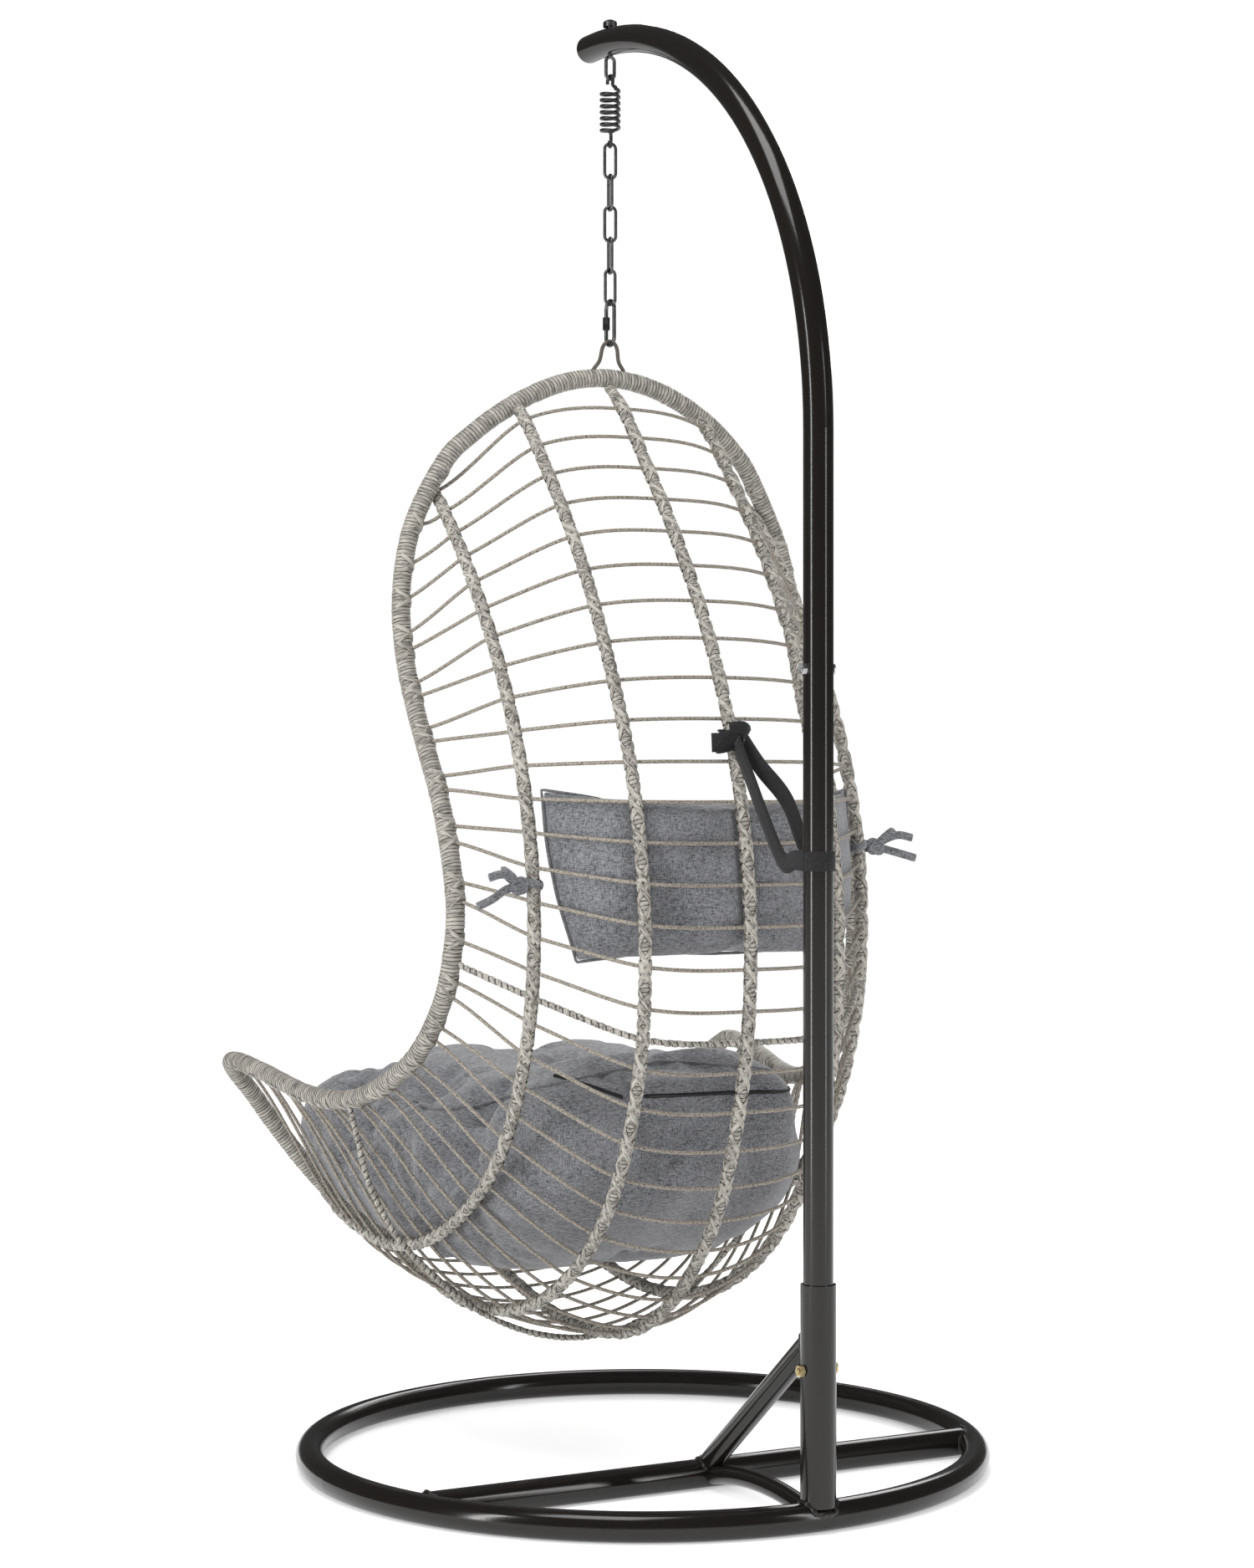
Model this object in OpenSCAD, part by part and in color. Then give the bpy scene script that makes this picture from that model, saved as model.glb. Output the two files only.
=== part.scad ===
// Hanging egg chair: a woven basket with cushions on a chain, under a bent pole on a ring base.
// Origin: centre of the base ring on the floor. +Z up, -Y towards the open front, +X the sitter's left.

/* [Basket] */
// Width of the basket across the armrests, between tube centres
basket_w = 830; // [690:1:1000]
// Depth of the basket from its front edge to its back, between tube centres
basket_d = 841; // [700:1:1010]
// Height of the basket from its lowest bar to the top of the rim, between tube centres
basket_h = 1358; // [1130:1:1640]
// Free height under the basket
floor_gap = 137; // [80:1:250]
// Diameter of the wrapped rim
rim_d = 26; // [18:0.5:34]
// Diameter of the wrapped ribs
rib_d = 15.5; // [10:0.1:20]
// Diameter of the woven strands
strand_d = 5; // [3:0.5:7]
// Diameter of the spiral-wrapped hoops
hoop_d = 9; // [7:0.5:12]
// Spacing of the strands along the middle rib, on the upper back
upper_pitch = 58.5; // [45:1:75]
// Spacing of the strands along the middle rib, on the lower back and the seat
lower_pitch = 54; // [45:1:70]
// Diameter of the bent rod that the basket hangs from
loop_rod_d = 5.5; // [4:0.5:8]
// Height of the hanging loop above the middle of the rim
loop_h = 54; // [45:1:80]

/* [Stand] */
// Radius of the base ring, at the middle of its tube
ring_r = 456; // [380:1:560]
// Diameter of the tubes of the stand
tube_d = 38; // [30:0.1:46]
// Wall of the tubes
tube_wall = 1.5; // [1.2:0.1:2.5]
// Distance from the pole to the hook
hook_reach = 550; // [450:2:660]
// Bend radius of the arm
arm_r = 602; // [560:2:700]
// Height of the joint between the two halves of the pole
joint_z = 1029; // [800:5:1150]
// Height of the socket that holds the pole
socket_top = 308; // [240:2:360]
// Wall of the socket
socket_wall = 3; // [2:0.5:4]
// Distance of the crossbar from the middle of the ring
crossbar_y = 180; // [100:5:240]
// Height at which the brace meets the socket
brace_z = 231; // [160:1:280]
// Diameter of the brace
brace_d = 30; // [20:1:34]
// Diameter of the arched tube between crossbar and socket
link_tube_d = 25; // [20:1:30]
// Diameter of the bolts
bolt_d = 8; // [6:0.5:10]

/* [Suspension] */
// Wire of the chain links
chain_wire = 4.5; // [3.5:0.05:6]
// Outer length of a chain link
link_len = 53.5; // [46:0.5:66]
// Outer width of a chain link
link_w = 20; // [18:0.5:26]
// Wire of the screw link
screw_link_wire = 5.5; // [4.5:0.5:7]
// Outer length of the screw link
screw_link_len = 68; // [60:1:80]
// Outer width of the screw link
screw_link_w = 29; // [26:0.5:36]
// Wire of the spring
spring_wire = 4; // [3:0.5:5]
// Outer diameter of the spring
spring_d = 30; // [24:0.5:40]
// Outer length of the spring with its hooks
spring_len = 104; // [90:1:130]
// Turns of the spring
spring_turns = 7; // [5:1:9]
// Rod of the eye bolt
eye_rod = 5; // [4:0.5:7]
// How far the eye hangs below the arm
eye_drop = 36; // [30:1:50]

/* [Strap] */
// Width of the strap's webbing
web_w = 25; // [15:1:30]
// Thickness of the strap's webbing
web_t = 2; // [1:0.5:3]

/* [Cushions] */
// Thickness of the neck cushion
neck_t = 110; // [70:5:130]
// Height of the neck cushion
neck_h = 215; // [160:5:240]
// Length of the neck cushion
neck_w = 450; // [340:5:470]
// Thickness of the seat cushion
seat_t = 230; // [140:5:280]
// Length of the seat cushion from front to back
seat_l = 620; // [480:5:640]

/* [Hidden] */
$fn = 48;

// Clearances and weld depths
running_gap = 0.3;
slip_gap = 0.5;
bolt_gap = 0.2;
weld = 1;
weave_depth = 5;
web_gap = 1;

// Colours
steel_black = [0.16, 0.15, 0.14];
zinc = [0.78, 0.7, 0.45];
bright_steel = [0.75, 0.75, 0.76];
chain_grey = [0.35, 0.36, 0.37];
rattan = [0.72, 0.7, 0.65];
fabric_grey = [0.45, 0.46, 0.5];
web_black = [0.1, 0.1, 0.1];

// The basket's shape points are drawn at this size, with y from the hook's axis and z from the floor
shape_w = 830;
shape_d = 841;
shape_h = 1358;
shape_low = 142;
low_z = floor_gap + hoop_d / 2;
pole_y = ring_r;
hook_y = pole_y - hook_reach;
function place(p) = [p.x * basket_w / shape_w, hook_y + p.y * basket_d / shape_d,
    low_z + (p.z - shape_low) * basket_h / shape_h];

// Every strand lies in a plane through this left-right axis, and each rib is a curve in polar form about it
fan_y = -320;
fan_z = 930;
rib_x = [0, 145, 250];
rib_step = 15;
rib_first = -105;
rib_rho = [[705, 735, 800, 855, 845, 790, 730, 675, 635, 610, 610, 640],
    [690, 715, 765, 805, 810, 770, 710, 655, 610, 590, 590, 612],
    [612, 640, 670, 685, 685, 650, 600, 550, 510, 485, 480, 490]];
rib_top = [60.6, 59.3, 55.6];
rib_front = [-100.4, -100.3, -100.8];
function fan(x, rho, phi) = [x, fan_y + rho * cos(phi), fan_z + rho * sin(phi)];

// Left half of the rim, from its top, down the side and armrest to the tip, and back along the front edge
rim_half = [[0, -6, 1500], [62, -6, 1492], [120, -6, 1470], [171, -10, 1440], [209, -17, 1410],
    [239, -25, 1380], [274, -30, 1320], [298, -28, 1260], [311, -22, 1180], [313, -4, 1100],
    [310, 30, 1020], [305, 96, 900], [308, 142, 790], [312, 148, 720], [317, 122, 640],
    [330, 63, 565], [350, -20, 516], [367, -95, 497], [386, -180, 500], [405, -290, 521],
    [414, -370, 531], [408, -403, 520], [365, -430, 475], [326, -440, 426], [267, -442, 354],
    [190, -448, 278], [142, -452, 253], [70, -455, 242], [0, -455, 240]];
rim_tip = 20;
rim_steps = 2;

// Half of the cradle hoop, under the basket from armrest to armrest
cradle_y = -80;
cradle_half = [[362, 492], [350, 444], [330, 375], [290, 305], [250, 262], [200, 217], [145, 181],
    [75, 153], [0, 142]];

// Curves through points, and tubes along them
function unit(v) = v / norm(v);
function between(a, b, c, d, t) = 0.5 * (2 * b + (c - a) * t + (2 * a - 5 * b + 4 * c - d) * t * t
    + (3 * b - a - 3 * c + d) * t * t * t);
function curve(p, steps) = let (n = len(p) - 1)
    [for (i = [0:n - 1]) for (k = [0:steps - 1])
        between(p[max(i - 1, 0)], p[i], p[i + 1], p[min(i + 2, n)], k / steps), p[n]];
function ring_curve(p, steps) = let (n = len(p))
    [for (i = [0:n - 1]) for (k = [0:steps - 1])
        between(p[(i + n - 1) % n], p[i], p[(i + 1) % n], p[(i + 2) % n], k / steps)];
function reversed(p) = [for (i = [len(p) - 1:-1:0]) p[i]];
function flipped(p) = [for (v = p) [-v.x, v.y, v.z]];
function inner(p) = [for (i = [1:len(p) - 2]) p[i]];
function tangents(p, closed) = let (n = len(p))
    [for (i = [0:n - 1]) unit((closed ? p[(i + 1) % n] : p[min(i + 1, n - 1)])
        - (closed ? p[(i + n - 1) % n] : p[max(i - 1, 0)]))];
function squared(v, t) = unit(v - (v * t) * t);
function normals(t, first) = [for (i = 0, v = squared(first, t[0]); i < len(t); i = i + 1,
    v = i < len(t) ? squared(v, t[i]) : v) v];
function disc(r, sides) = [for (k = [0:sides - 1]) r * [cos(360 * k / sides), sin(360 * k / sides)]];
function oblong(w, t) = [[w, t] / 2, [-w, t] / 2, [-w, -t] / 2, [w, -t] / 2];
module skin(rings, closed = false) {
    m = len(rings[0]);
    n = len(rings);
    walls = [for (i = [0:closed ? n - 1 : n - 2]) for (k = [0:m - 1])
        let (a = i * m + k, b = i * m + (k + 1) % m, c = (i + 1) % n * m + (k + 1) % m,
            d = (i + 1) % n * m + k) each [[a, c, b], [a, d, c]]];
    caps = closed ? [] : [[for (k = [0:m - 1]) k], [for (k = [m - 1:-1:0]) (n - 1) * m + k]];
    polyhedron([for (r = rings) each r], concat(walls, caps), 10);
}
module sweep(path, outline, first, closed = false) {
    t = tangents(path, closed);
    v = normals(t, first);
    skin([for (i = [0:len(path) - 1]) let (w = cross(t[i], v[i]))
        [for (q = outline) path[i] + q.x * v[i] + q.y * w]], closed);
}

// Rim and ribs, placed
rim_path = [for (p = ring_curve(concat(rim_half, flipped(reversed(inner(rim_half)))), rim_steps)) place(p)];
rim_side = curve([for (i = [0:rim_tip]) rim_half[i]], 4);
rim_x_at = [for (p = rim_side) [atan2(p.z - fan_z, p.y - fan_y), p.x]];
rim_rho_at = [for (p = rim_side) [atan2(p.z - fan_z, p.y - fan_y), norm([p.z - fan_z, p.y - fan_y])]];
function rho(rib, phi) = let (t = rib_rho[rib], n = len(t) - 1, s = (phi - rib_first) / rib_step,
    i = min(floor(s), n - 1))
    between(t[max(i - 1, 0)], t[i], t[i + 1], t[min(i + 2, n)], s - i);
function on_rib(rib, side, phi) = fan(side * rib_x[rib], rho(rib, phi), phi);

// Angles of the strands about the fan axis, spaced evenly along the middle rib; one of them is the seat hoop
first_phi = 55.7;
last_phi = -97;
hoop_index = 17;
upper_end = 10;
// The strands beside the seat hoop stand closer to it
hoop_pitch_share = 0.75;
hoop_pitch = lower_pitch * hoop_pitch_share;
function pitch_after(k) = k < upper_end ? upper_pitch : abs(k - hoop_index + 0.5) < 1 ? hoop_pitch : lower_pitch;
function next_phi(phi, k) = let (dr = (rho(0, phi) - rho(0, phi - 1)) * 180 / PI)
    phi - pitch_after(k) / norm([rho(0, phi), dr]) * 180 / PI;
strand_phi = [for (k = 0, phi = first_phi; phi > last_phi; phi = next_phi(phi, k), k = k + 1) phi];
strand_steps = 3;
wing_steps = 5;
strand_sides = 6;
// Neighbours lean towards each other in pairs where they meet the rim, by this much
pair_lean = 5;
rib_margin = 1;

function rim_end(side, phi) = let (x = lookup(phi, rim_x_at), r = lookup(phi, rim_rho_at))
    fan(side * x, r, phi);
// A strand's shape in its own plane: distance from the fan axis against distance from the middle
function strand_rho(phi, x) = let (xr = lookup(phi, rim_x_at), rr = lookup(phi, rim_rho_at),
    c = [0, rho(0, phi)], b = [rib_x[1], rho(1, phi)], a = [rib_x[2], rho(2, phi)], r = [xr, rr])
    x < b.x ? between(b.y, c.y, b.y, a.y, x / b.x)
    : x < a.x ? between(c.y, b.y, a.y, r.y, (x - b.x) / (a.x - b.x))
    : between(b.y, a.y, r.y, r.y, (x - a.x) / max(r.x - a.x, 1));
function bay(side, phi, x0, x1, lean, steps) = [for (i = [0:steps])
    let (t = i / steps, x = x0 + (x1 - x0) * t, s = t * t * (3 - 2 * t))
    place(fan(side * x, strand_rho(phi, x), phi + lean * s))];
module strand(path) {
    sweep(path, disc(strand_d / 2, strand_sides), [0, 0, 1]);
}
// The strand ends inside the rim's wrapping, this far short of the middle of its tube
rim_stop = rim_d / 2 - weave_depth;
function lean_at(k, phi) = (k % 2 == 0 ? -1 : 1) * (k < 4 ? 0 : pair_lean)
    / lookup(phi, rim_rho_at) * 180 / PI;
function crosses_outer_rib(phi) = lookup(phi, rim_x_at) > rib_x[2] + rim_d / 2;
module strand_bay(side, from, to) {
    for (k = [0:len(strand_phi) - 1])
        if (k != hoop_index)
            let (phi = strand_phi[k], whole = crosses_outer_rib(phi),
                x1 = whole ? rib_x[to] - rib_margin : min(rib_x[to], lookup(phi, rim_x_at) - rim_stop))
            strand(bay(side, phi, rib_x[from] + rib_margin, x1, 0, strand_steps));
}
module strand_wing(side) {
    for (k = [0:len(strand_phi) - 1])
        if (k != hoop_index && crosses_outer_rib(strand_phi[k]))
            let (phi = strand_phi[k], x1 = lookup(phi, rim_x_at), x0 = rib_x[2] + rib_margin,
                run = norm([x1 - x0, lookup(phi, rim_rho_at) - rho(2, phi)]))
            strand(bay(side, phi, x0, x0 + (x1 - x0) * (1 - rim_stop / run), lean_at(k, phi), wing_steps));
}
rib_turn = 5.75;
module rib(index, side) {
    count = round((rib_top[index] - rib_front[index]) / rib_turn);
    sweep([for (i = [0:count])
        place(on_rib(index, side, rib_top[index] + (rib_front[index] - rib_top[index]) * i / count))],
        disc(rib_d / 2, 8), [1, 0, 0]);
}
hoop_step = 29;
function hoop_half(side, phi) = [for (x = [0:hoop_step:rib_x[2]]) place(fan(side * x, strand_rho(phi, x), phi))];

// Heights of the suspension, worked out from the basket's rim up to the arm
rim_top_z = place(rim_half[0]).z;
loop_top = rim_top_z + loop_h;
screw_link_z = loop_top - loop_rod_d - running_gap - screw_link_wire;
screw_link_top = screw_link_z + screw_link_len;
chain_z = screw_link_top - screw_link_wire - running_gap - chain_wire;
link_count = 5;
link_step = link_len - 2 * chain_wire - running_gap;
chain_top = chain_z + link_len + (link_count - 1) * link_step;
spring_z = chain_top - chain_wire - running_gap - spring_wire;
spring_top = spring_z + spring_len;
eye_z = spring_top - spring_wire - running_gap - eye_rod;
arm_under_z = eye_z + eye_drop;
arm_z = arm_under_z + tube_d / 2;
bend_y = pole_y - arm_r;
bend_z = arm_z - sqrt(arm_r ^ 2 - (hook_y - bend_y) ^ 2);
arm_tip = 12;

// How each link is turned about the hook's axis
link_turn = [-20, 80, -20, 80, 0];
screw_link_turn = 90;

// Stand
module tube(d, h, wall = tube_wall) {
    difference() {
        cylinder(d = d, h = h);
        translate([0, 0, -1]) cylinder(d = d - 2 * wall, h = h + 2);
    }
}
module bent_tube(d, r, angle, wall = tube_wall) {
    rotate_extrude(angle = angle, $fn = 96) translate([r, 0]) difference() {
        circle(d = d);
        circle(d = d - 2 * wall);
    }
}
module cross_hole(z) {
    translate([0, pole_y, z]) rotate([0, 90, 0]) cylinder(d = bolt_d + 2 * bolt_gap, h = 3 * tube_d, center = true);
}
module base_ring() {
    color(steel_black) translate([0, 0, tube_d / 2]) bent_tube(tube_d, ring_r, 360);
}
// The bar runs a little past the inner face of the ring, where it is welded
crossbar_half = sqrt((ring_r - tube_d / 2) ^ 2 - (crossbar_y - tube_d / 2) ^ 2) + weld;
module base_crossbar() {
    color(steel_black) translate([-crossbar_half, crossbar_y, tube_d / 2]) rotate([0, 90, 0])
        tube(tube_d, 2 * crossbar_half);
}
link_tube_rise = 14;
link_tube_from = crossbar_y + tube_d / 2 - 3 * weld;
link_tube_to = ring_r - tube_d / 2 + 3 * weld;
module base_link_tube() {
    half = (link_tube_to - link_tube_from) / 2;
    r = (half ^ 2 + link_tube_rise ^ 2) / (2 * link_tube_rise);
    a = 2 * asin(half / r);
    color(steel_black)
        translate([0, link_tube_from + half, tube_d / 2 + link_tube_rise - r])
        rotate([90, 0, 90]) rotate([0, 0, 90 - a / 2]) bent_tube(link_tube_d, r, a);
}
socket_d = tube_d + 2 * slip_gap + 2 * socket_wall;
socket_z = tube_d - 6;
socket_bolt_z = 202;
module post_socket() {
    color(steel_black) difference() {
        translate([0, pole_y, socket_z]) tube(socket_d, socket_top - socket_z, socket_wall);
        cross_hole(socket_bolt_z);
    }
}
brace_foot_share = 0.75;
brace_foot_z = tube_d * brace_foot_share;
module diagonal_brace() {
    foot = [0, crossbar_y, brace_foot_z];
    head = [0, pole_y, brace_z + (socket_d / 2) * (brace_z - brace_foot_z) / (pole_y - crossbar_y)];
    v = head - foot;
    color(steel_black) difference() {
        translate(foot) rotate([-atan2(v.y, v.z), 0, 0]) tube(brace_d, norm(v));
        translate([0, pole_y, 0]) cylinder(d = socket_d - 2 * weld, h = socket_top);
        translate([-tube_d, crossbar_y, tube_d / 2]) rotate([0, 90, 0])
            cylinder(d = tube_d - 2 * weld, h = 2 * tube_d);
    }
}
lower_pole_z = 60;
swage_len = 80;
swage_d = tube_d - 2 * tube_wall - 2 * slip_gap / 2;
joint_bolt_above = 44;
joint_bolt_z = joint_z + joint_bolt_above;
module lower_pole() {
    color(steel_black) difference() {
        union() {
            translate([0, pole_y, lower_pole_z]) cylinder(d = tube_d, h = joint_z - lower_pole_z);
            translate([0, pole_y, joint_z]) cylinder(d = swage_d, h = swage_len);
        }
        translate([0, pole_y, lower_pole_z - 1])
            cylinder(d = swage_d - 2 * tube_wall, h = joint_z + swage_len - lower_pole_z + 2);
        cross_hole(socket_bolt_z);
        cross_hole(joint_bolt_z);
    }
}
module upper_arm() {
    color(steel_black) difference() {
        union() {
            translate([0, pole_y, joint_z + running_gap]) tube(tube_d, bend_z - joint_z - running_gap);
            translate([0, bend_y, bend_z]) rotate([90, 0, 90]) bent_tube(tube_d, arm_r, 90);
            translate([0, bend_y, bend_z + arm_r]) rotate([90, 0, 0]) tube(tube_d, arm_tip);
        }
        cross_hole(joint_bolt_z);
        translate([0, hook_y, arm_z]) cylinder(d = bolt_d + 2 * bolt_gap, h = 2 * tube_d, center = true);
    }
}
plug_len = 25;
plug_wall = 1.5;
dome_h = 6;
module arm_end_plug() {
    r = tube_d / 2;
    insert = r - tube_wall - bolt_gap;
    color(web_black) translate([0, bend_y - arm_tip, bend_z + arm_r]) rotate([90, 0, 0])
        rotate_extrude() difference() {
            union() {
                translate([0, -plug_len]) square([insert, plug_len + 1]);
                translate([0, bolt_gap]) square([r - dome_h, dome_h]);
                translate([0, bolt_gap]) intersection() {
                    translate([r - dome_h, 0]) circle(r = dome_h);
                    square(r);
                }
            }
            translate([0, -plug_len - 1]) square([insert - plug_wall, plug_len]);
        }
}
// Bolts through the pole: a domed head on the sitter's right, a nut on the left
head_h = 5;
nut_h = 6.5;
nut_flats = 13;
nut_turn = 30;
module bolt_through(z, reach) {
    translate([-reach - bolt_gap, pole_y, z]) rotate([0, 90, 0]) union() {
        cylinder(d = bolt_d, h = 2 * reach + 2 * bolt_gap + nut_h + 2);
        translate([0, 0, -head_h]) cylinder(d1 = bolt_d, d2 = 1.9 * bolt_d, h = head_h / 2);
        translate([0, 0, -head_h / 2]) cylinder(d = 1.9 * bolt_d, h = head_h / 2);
    }
}
module nut_on(z, reach) {
    translate([reach + bolt_gap, pole_y, z]) rotate([nut_turn, 0, 0]) rotate([0, 90, 0]) difference() {
        cylinder(d = nut_flats / cos(30), h = nut_h, $fn = 6);
        translate([0, 0, -1]) cylinder(d = bolt_d + 0.2, h = nut_h + 2);
    }
}
module socket_bolt() {
    color(zinc) bolt_through(socket_bolt_z, socket_d / 2);
}
module socket_nut() {
    color(zinc) nut_on(socket_bolt_z, socket_d / 2);
}
module joint_bolt() {
    color(bright_steel) bolt_through(joint_bolt_z, tube_d / 2);
}
module joint_nut() {
    color(bright_steel) nut_on(joint_bolt_z, tube_d / 2);
}

// Suspension
module ring_bar(length, width, wire, straight = true) {
    r = (width - wire) / 2;
    half = (length - width) / 2;
    for (end = [-1, 1])
        translate([0, 0, end * half]) rotate([90, 0, 0]) rotate([0, 0, end < 0 ? 180 : 0])
            rotate_extrude(angle = 180, $fn = 48) translate([r, 0]) circle(d = wire, $fn = 24);
    for (side = [-1, 1])
        if (straight || side > 0)
            translate([side * r, 0, -half]) cylinder(d = wire, h = 2 * half, $fn = 24);
}
eye_w = 3 * eye_rod + 3;
cap_z = arm_under_z + tube_d;
cap_drop = 1.2;
module eye_bolt() {
    shank_top = cap_z + nut_h;
    color(chain_grey) translate([0, hook_y, 0]) union() {
        translate([0, 0, eye_z + eye_drop / 2]) ring_bar(eye_drop, eye_w, eye_rod);
        translate([0, 0, arm_under_z - eye_rod / 2]) cylinder(d = bolt_d, h = shank_top - arm_under_z + eye_rod / 2);
    }
}
module eye_bolt_cap_nut() {
    cap_r = 10;
    color(chain_grey) translate([0, hook_y, cap_z + cap_drop]) difference() {
        union() {
            cylinder(r = cap_r, h = nut_h);
            translate([0, 0, nut_h]) intersection() {
                translate([0, 0, -cap_r]) sphere(r = cap_r * sqrt(2));
                cylinder(r = cap_r - 1, h = cap_r);
            }
        }
        translate([0, 0, -1]) cylinder(d = bolt_d + 0.4, h = nut_h + 1.5 - cap_drop);
    }
}
spring_turn_steps = 12;
hook_inner = 6;
hook_steps = 6;
module coil_spring() {
    r = (spring_d - spring_wire) / 2;
    hook_r = hook_inner + spring_wire / 2;
    // The coil lies between the two hooks, which bend in to the axis
    coil_low = 1.75 * hook_r + 2 * spring_wire;
    coil_rise = spring_len - 2 * coil_low;
    steps = spring_turns * spring_turn_steps;
    // An open hook in the plane of x: from the side of its ring, round the outer end and half way up the far side
    function hook(end) = [for (i = [0:hook_steps + 2])
        let (a = -15 + 210 * i / (hook_steps + 2))
        [hook_r * cos(a), 0, end * (spring_len / 2 - spring_wire / 2 - hook_r + hook_r * sin(a))]];
    neck = coil_rise / 2 + spring_wire;
    top = [for (p = reversed(hook(1))) [p.y, p.x, p.z]];
    low_turn = link_turn[0] + 90;
    low = [for (p = hook(-1)) [p.x * cos(low_turn), p.x * sin(low_turn), p.z]];
    coil = [for (i = [0:steps]) let (a = 90 + 360 * i / spring_turn_steps)
        [r * cos(a), r * sin(a), coil_rise / 2 - coil_rise * i / steps]];
    route = concat(top, [[0, hook_r, neck + 1]], [[-r * 0.35, hook_r * 1.25, neck - spring_wire / 2]], coil,
        [[r * 0.35, hook_r * 1.1, -neck + spring_wire / 2]],
        [[low[0].x * 1.02, low[0].y * 1.02, -neck - 1]], low);
    color(web_black) translate([0, hook_y, spring_z + spring_len / 2]) sweep(route, disc(spring_wire / 2, 6), [1, 0, 0]);
}
module chain_link(number) {
    z = chain_z + link_len / 2 + (link_count - number) * link_step;
    color(chain_grey) translate([0, hook_y, z]) rotate([0, 0, link_turn[number - 1]])
        ring_bar(link_len, link_w, chain_wire);
}
// The screw link is open on one side, where a long nut closes the gap
gap_len = 9;
link_nut_d = screw_link_wire + 4.5;
link_nut_len = 18;
thread_gap = 0.3;
screw_link_mid = screw_link_z + screw_link_len / 2;
screw_side = (screw_link_w - screw_link_wire) / 2;
module on_screw_link() {
    translate([0, hook_y, screw_link_mid]) rotate([0, 0, screw_link_turn]) children();
}
module screw_link() {
    half = (screw_link_len - screw_link_w) / 2;
    color(chain_grey) on_screw_link() union() {
        ring_bar(screw_link_len, screw_link_w, screw_link_wire, false);
        for (end = [-1, 1])
            translate([-screw_side, 0, end > 0 ? gap_len / 2 : -half])
                cylinder(d = screw_link_wire, h = half - gap_len / 2, $fn = 24);
    }
}
module screw_link_nut() {
    color(chain_grey) on_screw_link() translate([-screw_side, 0, -gap_len / 2 - 4]) difference() {
        cylinder(d = link_nut_d, h = link_nut_len, $fn = 6);
        translate([0, 0, -1]) cylinder(d = screw_link_wire + 2 * thread_gap, h = link_nut_len + 2);
    }
}

// Basket frame
module hanging_loop() {
    bow_r = 9;
    foot_x = 22;
    half = [[0, loop_h - loop_rod_d / 2], [bow_r * 0.75, loop_h - loop_rod_d / 2 - 2.6],
        [bow_r * 1.3, loop_h - 13], [15, 24], [foot_x, rim_d / 2 + 1], [foot_x + 4, rim_d / 2 - weave_depth]];
    left = [for (p = half) [p.x, hook_y + rim_half[0].y * basket_d / shape_d * (1 - p.y / loop_h), rim_top_z + p.y]];
    color(rattan * 0.6) sweep(curve(concat(flipped(reversed(left)), [for (i = [1:len(left) - 1]) left[i]]), 3),
        disc(loop_rod_d / 2, 8), [0, 1, 0]);
}
module basket_rim() {
    color(rattan) sweep(rim_path, disc(rim_d / 2, 8), [0, 0, 1], true);
}
module rib_middle() {
    color(rattan) rib(0, 1);
}
module rib_left_inner() {
    color(rattan) rib(1, 1);
}
module rib_right_inner() {
    color(rattan) rib(1, -1);
}
module rib_left_outer() {
    color(rattan) rib(2, 1);
}
module rib_right_outer() {
    color(rattan) rib(2, -1);
}
module seat_hoop() {
    phi = strand_phi[hoop_index];
    side = concat(inner(hoop_half(1, phi)), [place(on_rib(2, 1, phi)), place(rim_end(1, phi - 1))]);
    color(rattan) sweep(curve(concat(flipped(reversed(side)), [place(on_rib(0, 1, phi))], side), 1),
        disc(hoop_d / 2, 8), [0, 0, 1]);
}
module cradle_hoop() {
    half = [for (p = cradle_half) place([p.x, cradle_y, p.y])];
    color(rattan) sweep(curve(concat(half, flipped(inner(reversed(half))), [flipped(half)[0]]), 2),
        disc(hoop_d / 2, 8), [0, 1, 0]);
}
module strands_left_back() {
    color(rattan) strand_bay(1, 0, 1);
}
module strands_right_back() {
    color(rattan) strand_bay(-1, 0, 1);
}
module strands_left_side() {
    color(rattan) strand_bay(1, 1, 2);
}
module strands_right_side() {
    color(rattan) strand_bay(-1, 1, 2);
}
module strands_left_wing() {
    color(rattan) strand_wing(1);
}
module strands_right_wing() {
    color(rattan) strand_wing(-1);
}

// Cushions: soft forms, thick in the middle and thin at their edges
function soft(t, power) = pow(max(1 - pow(abs(t), power), 0), 1 / power);
function oval(sides, power) = [for (k = [0:sides - 1]) let (a = 360 * k / sides, c = cos(a), s = sin(a))
    [sign(c) * pow(abs(c), 2 / power), sign(s) * pow(abs(s), 2 / power)]];
seat_rows = 12;
seat_mid_y = -85;
module seat_cushion() {
    // Half width and mid height from the front edge to the back
    half_w = [338, 333, 328, 312, 287, 253, 194];
    mid_z = [443, 428, 413, 406, 413, 442, 486];
    count = len(half_w) - 1;
    rows = [for (i = [0:seat_rows]) let (t = -1 + 2 * i / seat_rows, s = (t + 1) / 2 * count,
        k = min(floor(s), count - 1), f = s - k, full = soft(0.97 * t, 3),
        w = (half_w[k] + (half_w[k + 1] - half_w[k]) * f) * (0.75 + 0.25 * full),
        z = mid_z[k] + (mid_z[k + 1] - mid_z[k]) * f)
        [for (q = oval(20, 2.6)) place([q.x * w, seat_mid_y + t * seat_l / 2, z + q.y * seat_t / 2 * full])]];
    color(fabric_grey) skin(rows);
}
neck_rows = 12;
neck_phi = -10;
neck_gap = 7;
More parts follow.
